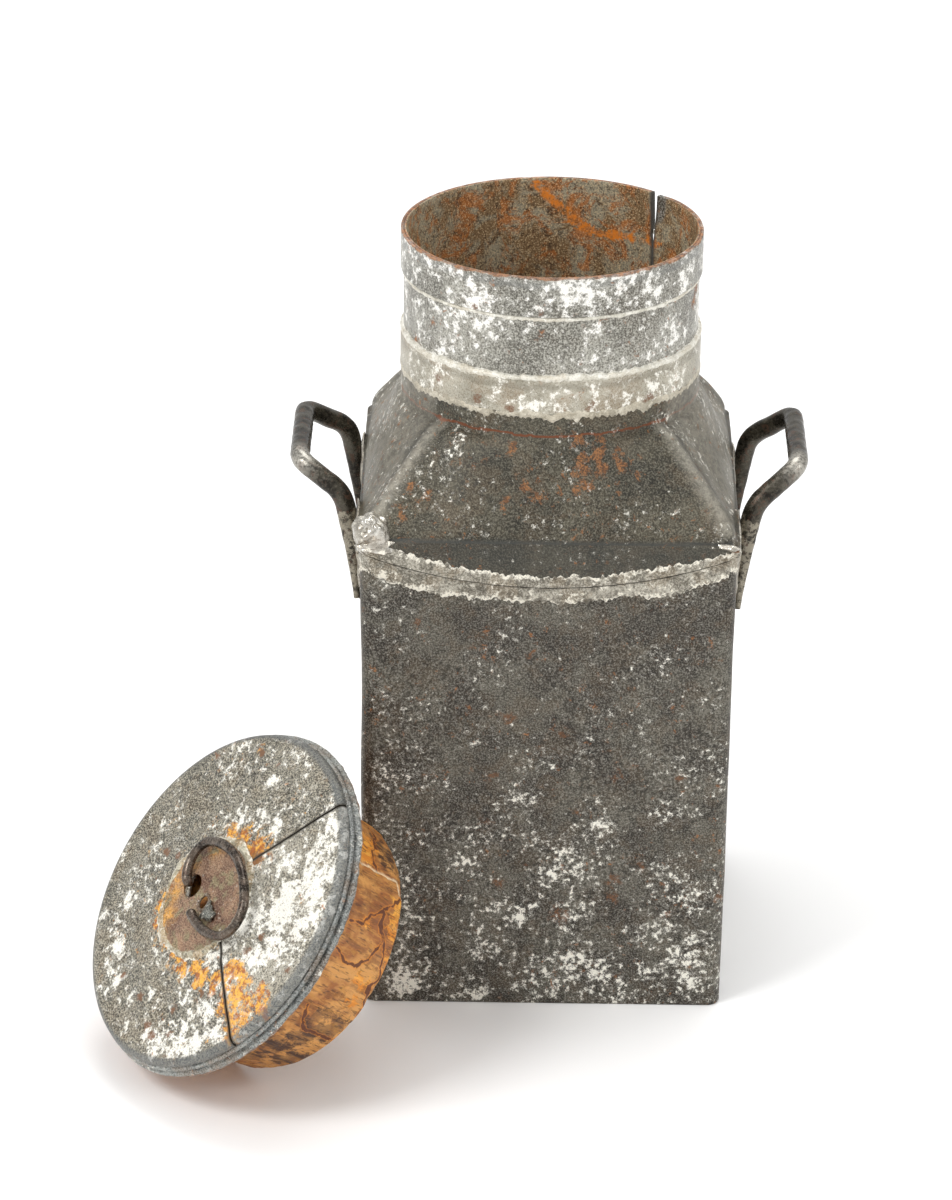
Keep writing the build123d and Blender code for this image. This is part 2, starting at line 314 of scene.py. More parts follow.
plainTin = {"dark": tone(50, 48, 42), "light": tone(92, 88, 77), "warm": tone(88, 74, 56), "warmth": 0.4,
            "cloudSize": 0.035, "grainSize": 0.0009, "grainShare": 0.42, "grainTone": tone(160, 156, 140),
            "pit": tone(34, 32, 28), "pitShare": 0.55, "flakeSize": 0.0032,
            "flakeTone": tone(236, 233, 222), "flakeStart": 0.615, "flakeShare": 0.95, "crowdSize": 0.03,
            "crowd": 0.035, "paleLift": 0.085, "rustSize": 0.004, "rustStart": 0.6,
            "rustDark": tone(98, 62, 38), "rustLight": tone(162, 106, 60), "brown": tone(112, 74, 46),
            "solid": 0.35, "roughness": 0.5, "metal": 0.45, "bump": 0.25}


# The points are a grid, in millimetres. Each four neighbours make a face, the grid may close on itself
# along either way, and open rings end in a fan to their middle point. Faces are turned to look outward.
def gridPiece(name, body, points, material, replaces=(), closeU=True, closeV=False, fans=False,
              thinEnds=False, marks=None, sharp=40):
    countU, countV = points.shape[:2]
    spots = points.reshape(-1, 3) * mm
    u = np.arange(countU if closeU else countU - 1)
    v = np.arange(countV if closeV else countV - 1)
    u, v = np.meshgrid(u, v, indexing="ij")
    nextU, nextV = (u + 1) % countU, (v + 1) % countV
    quads = np.stack([u * countV + v, nextU * countV + v, nextU * countV + nextV, u * countV + nextV], -1)
    quads = quads.reshape(-1, 4)
    triangles = np.zeros((0, 3), int)
    if fans:
        first, last = np.arange(countU) * countV, np.arange(countU) * countV + countV - 1
        start, end = len(spots), len(spots) + 1
        spots = np.vstack([spots, spots[first].mean(0), spots[last].mean(0)])
        low = np.stack([np.full(countU, start), np.roll(first, -1), first], -1)
        high = np.stack([np.full(countU, end), last, np.roll(last, -1)], -1)
        triangles = np.vstack([low, high])
    if thinEnds:
        half = countV // 2
        near = np.arange(half - 1)
        far = countV - 1 - near
        end = (countU - 1) * countV
        startCap = np.stack([near, near + 1, far - 1, far], -1)
        endCap = np.stack([end + far, end + far - 1, end + near + 1, end + near], -1)
        quads = np.vstack([quads, startCap, endCap])
    corners = np.vstack([quads[:, [0, 1, 2]], quads[:, [0, 2, 3]], triangles])
    a, b, c = (spots[corners[:, k]] for k in range(3))
    if np.einsum("ij,ij->i", a, np.cross(b, c)).sum() < 0:
        quads, triangles = quads[:, ::-1], triangles[:, ::-1]
    mesh = bpy.data.meshes.new(name)
    mesh.from_pydata(spots.tolist(), [], quads.tolist() + triangles.tolist())
    for label, share in (marks or {}).items():
        values = np.zeros(len(spots), np.float32)
        values[:share.size] = share.reshape(-1)
        mesh.attributes.new(label, "FLOAT", "POINT").data.foreach_set("value", values)
    mesh.shade_smooth()
    mesh.set_sharp_from_angle(angle=radians(sharp))
    mesh.materials.append(material)
    made = bpy.data.objects.new(name, mesh)
    bpy.context.scene.collection.objects.link(made)
    if replaces:
        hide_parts(*replaces)
    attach(made, body)


# A sum of sine waves that run in random directions, about -1 to 1, with bumps about `length` across.
def waves(points, length, seed):
    count = 9
    dice = np.random.default_rng(seed)
    ways = dice.normal(size=(count, 3))
    ways /= np.linalg.norm(ways, axis=1, keepdims=True)
    rates = 2 * np.pi / (length * dice.uniform(0.7, 1.6, count))
    starts = dice.uniform(0, 2 * np.pi, count)
    return np.sin(points @ (ways * rates[:, None]).T + starts).sum(-1) / sqrt(count)


# How strongly each point is marked: 1 at a spot's middle, falling to 0 at 1.6 times its radius.
def spotShare(first, second, spots):
    share = np.zeros(np.broadcast(first, second).shape)
    for x, y, radius in spots:
        gap = np.sqrt((first - x) ** 2 + (second - y) ** 2) / radius
        share = np.maximum(share, 1 - smooth(gap / 1.6))
    return share


# The distance from each point to the nearest of a few broken lines.
def lineGap(first, second, lines):
    gap = np.full(np.broadcast(first, second).shape, 1e6)
    for line in lines:
        for (x0, y0), (x1, y1) in zip(line[:-1], line[1:]):
            length = (x1 - x0) ** 2 + (y1 - y0) ** 2
            t = np.clip(((first - x0) * (x1 - x0) + (second - y0) * (y1 - y0)) / length, 0, 1)
            away = np.sqrt((first - x0 - t * (x1 - x0)) ** 2 + (second - y0 - t * (y1 - y0)) ** 2)
            gap = np.minimum(gap, away)
    return gap


# A closed ragged line: random heights at `count` even places, joined by straight runs, in several sizes.
def ragged(share, seed, sizes):
    dice = np.random.default_rng(seed)
    total = np.zeros_like(share)
    for count, height in sizes:
        values = dice.uniform(-1, 1, count)
        total += height * np.interp(share * count, np.arange(count + 1), np.append(values, values[0]))
    return total


# A soft step from 0 to 1: three times the square less twice the cube.
def smooth(value):
    value = np.clip(value, 0, 1)
    return value * value * (3 - 2 * value)


# Points at a radius and a turn about Z, at their heights.
def around(radius, turn, height):
    return np.stack(np.broadcast_arrays(radius * np.cos(turn), radius * np.sin(turn), height), -1)


# A profile of radius and height turned about Z: each point goes round at its own radius.
def turnProfile(profile, count):
    turn = 2 * np.pi * np.arange(count) / count
    return around(profile[:, 0], turn[:, None], profile[:, 1])


# The outer rows, then the inner ones in reverse, so that the grid closes round the sheet's two edges.
def doubled(outer, inner):
    return np.concatenate([outer, inner[:, ::-1]], 1)


# A closed strip: the top's rows, and the same rows again on a flat floor under it.
def onFloor(top, floor):
    under = top.copy()
    under[..., 2] = floor
    return doubled(top, under)


# Points of an open line put closer together, `step` apart, along its straight runs.
def refine(line, step):
    line = np.asarray(line, float)
    runs = np.linalg.norm(np.diff(line, axis=0), axis=1)
    parts = [line[:1]]
    for start, end, run in zip(line[:-1], line[1:], runs):
        count = max(1, int(round(run / step)))
        share = np.arange(1, count + 1)[:, None] / count
        parts.append(start + (end - start) * share)
    return np.vstack(parts)


can = {"footHalf": 91.7, "headHalf": 94.0, "height": 252.0, "corner": 7.0, "sheet": 1.2, "lap": 0.05,
       "fold": 259.0, "lapLow": 236.0, "lapHigh": 254.0, "collarFoot": 309.7, "collarHead": 321.0,
       "neck": 74.5, "ridge": 10.0, "dent": 0.45}
wall = {"around": 560, "rows": 110, "insideRows": 14, "longWave": 95, "shortWave": 38}


# Half the body's width, growing evenly from its foot to its head.
def halfAt(height):
    return can["footHalf"] + (can["headHalf"] - can["footHalf"]) * height / can["height"]


# A place's quarter, how far it is along that quarter's corner arc, and then how far along its side.
def quarterParts(share):
    quarter = np.floor(share * 4)
    t = share * 4 - quarter
    return quarter, np.clip(t / 0.2, 0, 1), np.clip((t - 0.2) / 0.8, 0, 1)


# Places round a square with rounded corners: a share of each quarter runs round the corner's arc,
# and the rest along the side. Returns x, y and the outward way at each place.
def squareRound(share, half, corner):
    quarter, arc, side = quarterParts(share)
    reach = half - corner
    turn = arc * np.pi / 2
    x = reach + corner * np.cos(turn) - 2 * reach * side
    y = reach + corner * np.sin(turn)
    wayX, wayY = np.cos(turn), np.sin(turn)
    spin = quarter * np.pi / 2
    return (x * np.cos(spin) - y * np.sin(spin), x * np.sin(spin) + y * np.cos(spin),
            wayX * np.cos(spin) - wayY * np.sin(spin), wayX * np.sin(spin) + wayY * np.cos(spin))


# The same places on a circle: each corner arc becomes a short arc about the diagonal.
def circleRound(share, radius):
    quarter, arc, side = quarterParts(share)
    ridge = can["ridge"]
    turn = np.radians(90 * quarter + 45 - ridge + 2 * ridge * arc + (90 - 2 * ridge) * side)
    return radius * np.cos(turn), radius * np.sin(turn)


# The skirt's lower edge is an arc on every side, lowest in the middle of the side.
def lapEdge(x, y):
    half = halfAt(can["fold"]) + can["sheet"]
    rise = can["lapHigh"] - can["lapLow"]
    radius = (half * half + rise * rise) / (2 * rise)
    near = np.minimum(np.abs(x), np.abs(y))
    return can["lapLow"] + radius - np.sqrt(radius * radius - near * near)


bodySpots = {
    "pale": [
        (-32, 169, 5), (-69, 193, 3), (-15, 118, 4), (-7, 116, 4), (-5, 96, 8), (-20, 97, 5),
        (-25, 113, 3), (10, 88, 4), (16, 78, 5), (4, 74, 6), (-13, 49, 7), (-30, 36, 10), (30, 103, 6),
        (-42, 78, 7), (17, 26, 5), (33, 20, 8), (54, 20, 8), (72, 30, 10), (56, 45, 13), (79, 58, 9),
        (76, 14, 7), (60, 108, 7), (77, 111, 5), (-80, 127, 6), (-48, 125, 4), (-73, 56, 4),
        (-37, 149, 3), (-23, 57, 9), (44, 207, 4), (38, 118, 3), (-2, 174, 3), (-65, 163, 3),
        (53, 163, 4), (23, 138, 3), (3, 136, 3), (-87, 188, 3), (-70, 12, 8), (-33, 8, 8), (-5, 16, 3),
        (81, 39, 8)],
    "brown": [
        (-8, 197, 3), (-63, 216, 3), (-26, 131, 3), (37, 131, 5), (9, 155, 3), (36, 72, 4),
        (35, 62, 4), (8, 52, 6), (-30, 103, 4), (68, 131, 3), (63, 52, 3), (-18, 163, 4), (49, 81, 3),
        (16, 112, 3), (-23, 69, 3), (89, 62, 3)]}


# The wall is the rounded square at each height, pushed in and out a little by long waves.
def bodyWall():
    rows, insideRows = wall["rows"], wall["insideRows"]
    share = np.arange(wall["around"])[:, None] / wall["around"]
    outer = np.array([(-1.0, 0.0), (-0.3, 0.25), (0.0, 0.9)])
    levels = np.linspace(2.5, can["height"], rows)
    inside = np.linspace(can["height"], 3, insideRows)
    offset = np.concatenate([outer[:, 0], np.zeros(rows), np.full(insideRows + 1, -can["sheet"])])
    height = np.concatenate([outer[:, 1], levels, inside, [0.0]])
    half = halfAt(height) + offset
    x, y, wayX, wayY = squareRound(share, half, can["corner"] + offset)
    z = np.broadcast_to(height, x.shape)
    fade = smooth((z - 8) / 40) * smooth((225 - z) / 40) * (offset > -can["sheet"] / 2)
    points = np.stack([x, y, z], -1)
    dent = waves(points, wall["longWave"], 3) * 0.7 + waves(points, wall["shortWave"], 4) * 0.22
    dent = can["dent"] * fade * dent
    points[..., 0] += wayX * dent
    points[..., 1] += wayY * dent
    front = y < -80
    marks = {key: spotShare(x, z, spots) * front for key, spots in bodySpots.items()}
    marks["brown"] *= 0.75
    look = dict(plainTin, dark=tone(52, 46, 39), light=tone(88, 84, 74), grainShare=0.52,
                grainTone=tone(156, 153, 143), cloudSize=0.02, fade=(10, 235, 0.034, -0.021))
    gridPiece("bodyWall", "can", points, agedTin("bodyTin", look), ["body_wall"], closeV=True,
              marks=marks)


slopeSpots = {
    "rust": [
        (25, 306, 3), (23, 301, 4), (16, 299, 4), (16, 294, 5), (18, 287, 5), (14, 285, 3),
        (26, 294, 4), (34, 298, 4), (37, 294, 3), (-12, 286, 3), (-5, 281, 3), (-22, 279, 2.5),
        (-22, 275, 3), (-61, 279, 3), (-69, 284, 2.5), (15, 307, 4), (-19, 303, 3), (-72, 271, 3)],
    "pale": [
        (-45, 304, 3), (-46, 298, 4), (-52, 294, 3), (-12, 272, 3), (53, 280, 2.5), (62, 273, 3),
        (84, 265, 4), (-77, 291, 3), (-83, 283, 4), (-64, 288, 3), (-38, 293, 2), (37, 285, 2)]}


slope = {"around": 800, "crease": 0.9, "creaseAt": 0.035, "creaseWidth": 0.017, "soft": 3.4,
         "softAt": 0.02, "softWidth": 0.07, "ridge": 4.2, "ridgeWidth": 3.3, "valley": 3.0,
         "valleyAt": 11.0, "valleyWidth": 6.0, "dent": 0.35}


# The value along a bell curve: 1 at its middle, falling off to both sides over its width.
def bell(value, middle, width):
    return np.exp(-((value - middle) / width) ** 2)


# The shoulder's outer face: a skirt up to a creased fold, a ruled slope from square to circle, and a
# collar. Every step up the slope is a blend of the two outlines, with the ridges at the corners raised.
def shoulderPoints(share, lift):
    skirtHalf = halfAt(can["fold"]) + can["lap"] + lift
    corner = can["corner"] + can["lap"] + lift
    collar = can["neck"] + can["lap"] + lift
    x0, y0, wayX, wayY = squareRound(share, skirtHalf, corner)
    edge = lapEdge(x0, y0)
    atCorner = smooth((np.minimum(np.abs(x0), np.abs(y0)) - 62) / 26)
    rows = []
    for part in np.linspace(0, 1, 10):
        z = edge + (can["fold"] - 1.2 - edge) * part
        inset = (halfAt(can["fold"]) - halfAt(z)) * 0.6
        rows.append((x0 - wayX * inset, y0 - wayY * inset, z))
    cx, cy = circleRound(share, collar)
    rise = can["collarFoot"] - can["fold"]
    steps = np.concatenate([[0.0, 0.012, 0.03, 0.05, 0.075, 0.1], np.linspace(0.13, 0.93, 26),
                            [0.97, 0.995]])
    for part in steps:
        crease = slope["crease"] * bell(part, slope["creaseAt"], slope["creaseWidth"])
        soft = slope["soft"] * atCorner * bell(part, slope["softAt"], slope["softWidth"])
        pull = 1 - (1 - part) ** 1.3 * 0.5 if part > 0.9 else part
        z = can["fold"] + rise * part
        x, y = x0 + (cx - x0) * pull, y0 + (cy - y0) * pull
        off = np.abs(np.abs(np.degrees(np.arctan2(y, x))) % 90 - 45)
        middle = sin(np.pi * min(part, 1))
        ridge = slope["ridge"] * bell(off, 0, slope["ridgeWidth"]) * middle**0.5
        valley = slope["valley"] * bell(off, slope["valleyAt"], slope["valleyWidth"]) * middle**0.8
        swell = (ridge - valley - crease - soft * 0.45) / np.hypot(x, y)
        rows.append((x * (1 + swell), y * (1 + swell), z + 0.4 * ridge - soft * 0.35))
    for z in np.linspace(can["collarFoot"] + 1.0, can["collarHead"], 6):
        rows.append((cx, cy, np.full_like(cx, z)))
    return np.stack([np.stack(np.broadcast_arrays(*row), -1) for row in rows], 1)


# The shoulder's sheet: its outer face, and the same face a sheet's thickness further in.
def shoulder():
    share = np.arange(slope["around"]) / slope["around"]
    points = doubled(shoulderPoints(share, can["sheet"]), shoulderPoints(share, 0.0))
    z = points[..., 2]
    fade = smooth((z - 262) / 12) * smooth((306 - z) / 10)
    push = slope["dent"] * fade * waves(points, 26, 8)
    points[..., :2] *= (1 + push / np.linalg.norm(points[..., :2], axis=-1))[..., None]
    front = points[..., 1] < -60
    marks = {key: spotShare(points[..., 0], z, spots) * front for key, spots in slopeSpots.items()}
    crest = np.abs(np.abs(np.degrees(np.arctan2(points[..., 1], points[..., 0]))) % 90 - 45)
    onSlope = smooth((z - 260) / 6)
    # Pale along each corner ridge's crest, partly rubbed tin, partly painted highlight; the side facets
    # get a paler tone too.
    marks["rubAndHighlight"] = onSlope * smooth((311 - z) / 6) * 0.62 * (1 - smooth(crest / 4.2))
    facet = np.abs(points[..., 0]) > np.abs(points[..., 1])
    marks["rubAndHighlight"] = np.maximum(marks["rubAndHighlight"], onSlope * smooth((crest - 2) / 6) * facet * 0.42)
    marks["pale"] = np.maximum(marks["pale"], facet * onSlope * 0.35)
    # A painted shade line along the fold's crease, and a darker smoother tone on the skirt below it, on
    # the front faces only.
    fold = bell(z, 259.8, 0.9) * 0.95
    marks["calmAndCreaseShade"] = np.maximum(0.42 * (z < 259.5), fold) * ~facet * (points[..., 1] < 0)
    look = dict(plainTin, dark=tone(54, 51, 42), light=tone(80, 75, 62), grainShare=0.34, pitShare=0.48,
                cloudSize=0.028, warmth=0.45, rustStart=0.585, bands=[(308.7, 310.3, 0.95)],
                bandTone=tone(112, 62, 36), flakeStart=0.63, rubAndHighlight=tone(174, 169, 156),
                calmAndCreaseShade=tone(60, 61, 58), rustDark=tone(116, 76, 46), rustLight=tone(152, 104, 64))
    gridPiece("shoulderSheet", "can", points, agedTin("shoulderTin", look), ["shoulder"], closeV=True,
              sharp=50, marks=marks)


solderLook = {"body": tone(166, 161, 148), "shade": tone(118, 113, 101), "edge": tone(240, 235, 221),
              "blot": tone(74, 69, 60), "warm": tone(134, 120, 98), "roughness": 0.42, "metal": 0.5,
              "blotShare": 0.6, "fineShare": 0.4, "bump": 0.5, "depth": 0.001}


# Old solder: beige grey, blotched and pitted, with a bright line along its ragged borders.
def solderMaterial(name, look, edged=True):
    made, tree = startMaterial(name)
    where = objectPlace(tree)
    cloud = ramp(tree, grain(tree, where, 0.011, 6, 0.7), 0.45, 0.55)
    colour = blend(tree, cloud, look["shade"], look["body"])
    fine = grain(tree, where, 0.001, 6, 0.75)
    medium = grain(tree, where, 0.005, 7, 0.75, 0.3)
    colour = layer(tree, colour, grain(tree, where, 0.016, 4, 0.6), 0.51, 0.56, 0.5, look["warm"])
    level = medium
    if edged:
        level = plus(tree, level, ramp(tree, mark(tree, "across"), 0.55, 1.0, -0.02, 0.12))
    colour = layer(tree, colour, fine, 0.51, 0.57, look["fineShare"], look["edge"])
    colour = layer(tree, colour, level, 0.555, 0.6, 0.9, look["edge"])
    colour = layer(tree, colour, fine, 0.46, 0.41, look["blotShare"], look["blot"])
    colour = layer(tree, colour, medium, 0.45, 0.41, look["blotShare"], look["blot"])
    rough = span(tree, fine, look["roughness"] - 0.1, look["roughness"] + 0.2)
    relief = plus(tree, fine, times(tree, medium, 1.5))
    endMaterial(tree, colour, rough, look["metal"], relief,
                {"strength": look["bump"], "depth": look["depth"]})
    return made


runSizes = {"around": 1800, "upper": 6.2, "upperLeft": 3.2, "upperCorner": 3.0, "lower": 9.6,
            "lowerLeft": 1.5, "lowest": 12.5}


# A run of solder round the can: its two borders are ragged lines about the skirt's edge, and it is
# thickest in between. The upper strip lies on the skirt and the lower one on the wall under it.
def solderRun():
    share = np.arange(runSizes["around"]) / runSizes["around"]
    material = solderMaterial("runSolder", solderLook)
    skirtHalf = halfAt(can["fold"]) + can["lap"] + can["sheet"]
    x0, y0, wayX, wayY = squareRound(share, skirtHalf, can["corner"] + can["sheet"])
    edge = lapEdge(x0, y0)
    cornerNear = smooth((np.minimum(np.abs(x0), np.abs(y0)) - 55) / 38)
    leftFront = smooth((-x0 - 20) / 70) * smooth((-y0 - 20) / 70)
    upper = runSizes["upper"] + runSizes["upperLeft"] * leftFront
    upper = upper - runSizes["upperCorner"] * cornerNear * (1 - leftFront)
    upper = upper + ragged(share, 21, [(34, 1.0), (130, 1.0), (420, 1.0), (900, 0.7)])
    lower = runSizes["lower"] + runSizes["lowerLeft"] * leftFront
    lower = lower + ragged(share, 22, [(26, 1.4), (120, 1.2), (400, 1.1), (900, 0.7)])
    lower = np.minimum(lower, runSizes["lowest"])
    upper = np.clip(upper, 1.0, can["fold"] - 0.8 - edge)
    part = np.linspace(0, 1, 9)[None, :]
    for name, low, high, lift, thick, topmost in (("upperSolder", 0.2, upper, 0.0, 0.75, True),
                                                  ("lowerSolder", -lower, -0.7, -1.25, 1.0, False)):
        low, high = (np.broadcast_to(side, share.shape)[:, None] for side in (low, high))
        z = edge[:, None] + low * (1 - part) + high * part
        across = np.broadcast_to(part if topmost else 1 - part, z.shape)
        uneven = 0.75 + 0.25 * ragged(share, 30 + topmost, [(60, 0.6), (260, 0.4)])
        build = thick * (1 - across**4) * uneven[:, None]
        base = lift + (halfAt(z) - halfAt(can["fold"])) * (0.6 if topmost else 1.0)
        sides = [np.stack([x0[:, None] + wayX[:, None] * off, y0[:, None] + wayY[:, None] * off, z], -1)
                 for off in (base + build, base - 0.25)]
        points = doubled(*sides)
        sway = 0.12 * waves(points, 5, 40 + topmost)
        points[..., :2] += sway[..., None] * np.stack([wayX, wayY], -1)[:, None]
        gridPiece(name, "can", points, material, [] if topmost else ["shoulder_solder"], closeV=True,
                  marks={"across": doubled(across, across)}, sharp=60)


# The blob at the front left corner and the skirt's bright tip at the front right one. Each lump has its
# middle, its half-sizes, how rough it is, the seed of its waves and, if it has one, its turn about Z
# in degrees.
lumps = {
    "cornerBlob": {"centre": (-88.0, -89.5, 263.0), "sizes": (9.2, 8.6, 9.0), "rough": 0.075, "seed": 5},
    "blobPeak": {"centre": (-89.0, -94.0, 268.0), "sizes": (4.0, 3.6, 4.6), "rough": 0.1, "seed": 15},
    "blobFoot": {"centre": (-84.0, -92.5, 255.5), "sizes": (11.5, 4.0, 4.5), "rough": 0.1, "seed": 9},
    "cornerTip": {"centre": (88.0, -93.6, 258.4), "sizes": (7.5, 2.0, 1.6), "rough": 0.08, "seed": 12,
                  "turn": -24},
    "tipPoint": {"centre": (91.3, -94.9, 257.2), "sizes": (3.4, 1.0, 0.9), "rough": 0.05, "seed": 14,
                 "turn": -24}}
blobLook = dict(solderLook, body=tone(214, 211, 203), shade=tone(166, 161, 151), roughness=0.22,
                metal=0.9, blotShare=0.12, fineShare=0.0, warm=tone(170, 162, 150), bump=0.2)
tipLook = {"dark": tone(82, 56, 40), "light": tone(120, 82, 58), "worn": tone(170, 140, 112),
           "rust": tone(110, 66, 40), "roughness": 0.5, "wornShare": 0.5, "bump": 0.35}


# A lump is a ball with its own half-sizes, pushed in and out by two sizes of waves.
def lump(name, material):
    place = lumps[name]
    turn = np.arange(64)[:, None] / 64 * 2 * np.pi
    down = np.linspace(0.04, np.pi - 0.04, 36)[None, :]
    ball = around(np.sin(down), turn, np.cos(down))
    swell = waves(ball * 10, 9, place["seed"]) + 0.5 * waves(ball * 10, 4, place["seed"] + 1)
    ball = ball * (1 + place["rough"] * swell)[..., None] * np.array(place["sizes"])
    spin = radians(place.get("turn", 0))
    ball[..., :2] = ball[..., :2] @ np.array([[cos(spin), sin(spin)], [-sin(spin), cos(spin)]])
    gridPiece(name, "can", ball + np.array(place["centre"]), material,
              ["corner_solder"] if name == "cornerBlob" else [], fans=True, sharp=70)


# All the lumps: bright solder, apart from the tip's rusty point.
def cornerLumps():
    bright = solderMaterial("blobSolder", blobLook, False)
    rusty = ironMaterial("tipRust", tipLook)
    for name in lumps:
        lump(name, rusty if name == "tipPoint" else bright)


ringTin = dict(solderLook, body=tone(238, 235, 224), shade=tone(212, 208, 194), blot=tone(150, 142, 126),
               warm=tone(206, 196, 176), edge=tone(250, 248, 240), blotShare=0.35)


# A round seam strip: an arched profile turned about Z, with its height waving a little.
def solderRing(name, replaced, radius, low, high, thick, seed, tall, **other):
    arch = np.linspace(0, 1, 9)
    share = np.arange(720) / 720
    lowEdge = low - np.abs(ragged(share, seed, [(40, tall), (190, tall * 0.7), (420, tall * 0.5)]))
    highEdge = high + ragged(share, seed + 1, [(40, tall * 0.6), (190, tall * 0.5), (420, tall * 0.4)])
    z = lowEdge[:, None] + (highEdge - lowEdge)[:, None] * arch
    across = np.broadcast_to(np.abs(arch * 2 - 1) ** 2, z.shape)
    out = radius + thick * np.sqrt(np.clip(1 - (arch * 2 - 1) ** 2, 0, 1))
    turn = share[:, None] * 2 * np.pi
    points = doubled(around(out, turn, z), around(radius - 0.2, turn, z))
    gridPiece(name, "can", points, solderMaterial(name + "Tin", dict(ringTin, **other)), [replaced],
              closeV=True, marks={"across": doubled(across, across)})


neck = {"foot": 305.0, "head": 392.3, "slitTurn": 45.0, "slitTop": 3.4, "slitFoot": 1.6,
        "slitDepth": 24.0, "seamWidth": 0.8, "bandSheet": 1.5, "rimBand": 20.3, "baseBand": 18.0}


# Half the slit's width at a height: a narrow seam low down, opening evenly up to the rim.
def slitHalf(z):
    up = (z - neck["head"] + neck["slitDepth"]) / neck["slitDepth"]
    width = neck["slitFoot"] + (neck["slitTop"] - neck["slitFoot"]) * up
    seam = neck["seamWidth"]
    share = smooth((z - (neck["head"] - neck["slitDepth"] - 4)) / 5)
    return (seam + (np.maximum(width, seam) - seam) * share) / 2


# A round wall, closed or with an open slit. A slit wall goes round from one side of the slit to the
# other, and near its far side it stands out a little and sags at the rim.
def slitTube(name, profile, replaced, look, spots, slit=True):
    radius, z = profile.T
    count = 480
    if slit:
        share = np.linspace(0, 1, count)[:, None]
        width = slitHalf(z) / radius
        turn = radians(neck["slitTurn"]) + width + (2 * np.pi - 2 * width) * share
        flap = 0.9 * bell(share, 1, 0.02) * smooth((z - 366) / 20)
        drop = 1.2 * bell(share, 1, 0.018) * smooth((z - 366) / 26)
        points = around(radius + flap, turn, z - drop)
    else:
        points = turnProfile(profile, count)
    marks = roundMarks(points, spots)
    if slit:
        marks["seam"] = np.clip(1.6 - np.minimum(share, 1 - share) * (count - 1), 0, 1) * np.ones_like(z)
    gridPiece(name, "can", points, agedTin(name + "Tin", look), [replaced], closeU=not slit, closeV=True,
              thinEnds=slit, sharp=35, marks=marks)


# Marks on a round wall are placed by their turn in degrees and their height.
def roundMarks(points, spots):
    turn = np.degrees(np.arctan2(points[..., 1], points[..., 0]))
    along = np.radians(turn) * can["neck"]
    height = points[..., 2]
    marks = {}
    for key in ("pale", "rust", "brown"):
        places = [(radians(x) * can["neck"], z, radius) for x, z, radius in spots.get(key, [])]
        marks[key] = spotShare(along, height, places)
    streak = [[(x, z) for x, z in line] for line in spots.get("streak", [])]
    if streak:
        x, y = points[..., 0], points[..., 1]
        marks["streak"] = (1 - smooth(lineGap(x, height, streak) / 3.8)) * (y > 0)
    return marks


# Even rows up the outside and down the inside of a thin round wall, with soft edges at the top.
def wallProfile(outer, inner, low, high, rows, soft=0.35):
    up = np.linspace(low, high - soft, rows)
    outside = [(outer, z) for z in up] + [(outer - soft * 0.3, high - soft * 0.25), (outer - soft, high)]
    inside = [(inner + soft, high), (inner + soft * 0.3, high - soft * 0.25)]
    return np.array(outside + inside + [(inner, z) for z in up[::-1]])


# The neck's marks: the turn in degrees, the height and the radius in mm, and the streaks' corner points.
neckSpots = {
    "tube": {
        "pale": [
            (-155, 366, 8), (-142, 368, 7), (-128, 369, 7), (-113, 367, 9), (-102, 361, 5),
            (-24, 355, 9), (-33, 353, 8), (-46, 348, 7), (-71, 367, 7), (-52, 363, 6), (-150, 345, 7),
            (-139, 343, 5), (-98, 368, 5), (-10, 356, 12), (-170, 360, 14), (60, 355, 20),
            (120, 350, 18)],
        "rust": [
            (-142, 357, 2.5), (-94, 363, 2), (-17, 362, 5), (-13, 368, 4), (-155, 342, 4), (50, 360, 5)],
        "streak": [[(-8, 388), (4, 377), (12, 369), (24, 364), (42, 365), (56, 365)]]},
    "rim": {
        "pale": [
            (-84, 383, 11), (-76, 380, 9), (-96, 377, 9), (-63, 381, 11), (-48, 380, 11),
            (-153, 379, 9), (-158, 370, 8), (-31, 380, 8), (-120, 378, 7), (-5, 378, 12)],
        "rust": [(40, 376, 4), (38, 384, 3), (50, 380, 3)],
        "brown": [(-120, 374, 2), (-94, 374, 2)]},
    "base": {
        "pale": [
            (-100, 327, 9), (-60, 325, 9), (-150, 328, 12), (-30, 330, 12), (-85, 324, 6),
            (-90, 329, 7), (-74, 328, 8), (-112, 330, 7), (-126, 328, 8), (-138, 331, 7), (-47, 330, 8)],
        "brown": [(-118, 326, 3), (-105, 323, 3), (-75, 324, 3), (-50, 323, 4), (-138, 330, 3)]}}


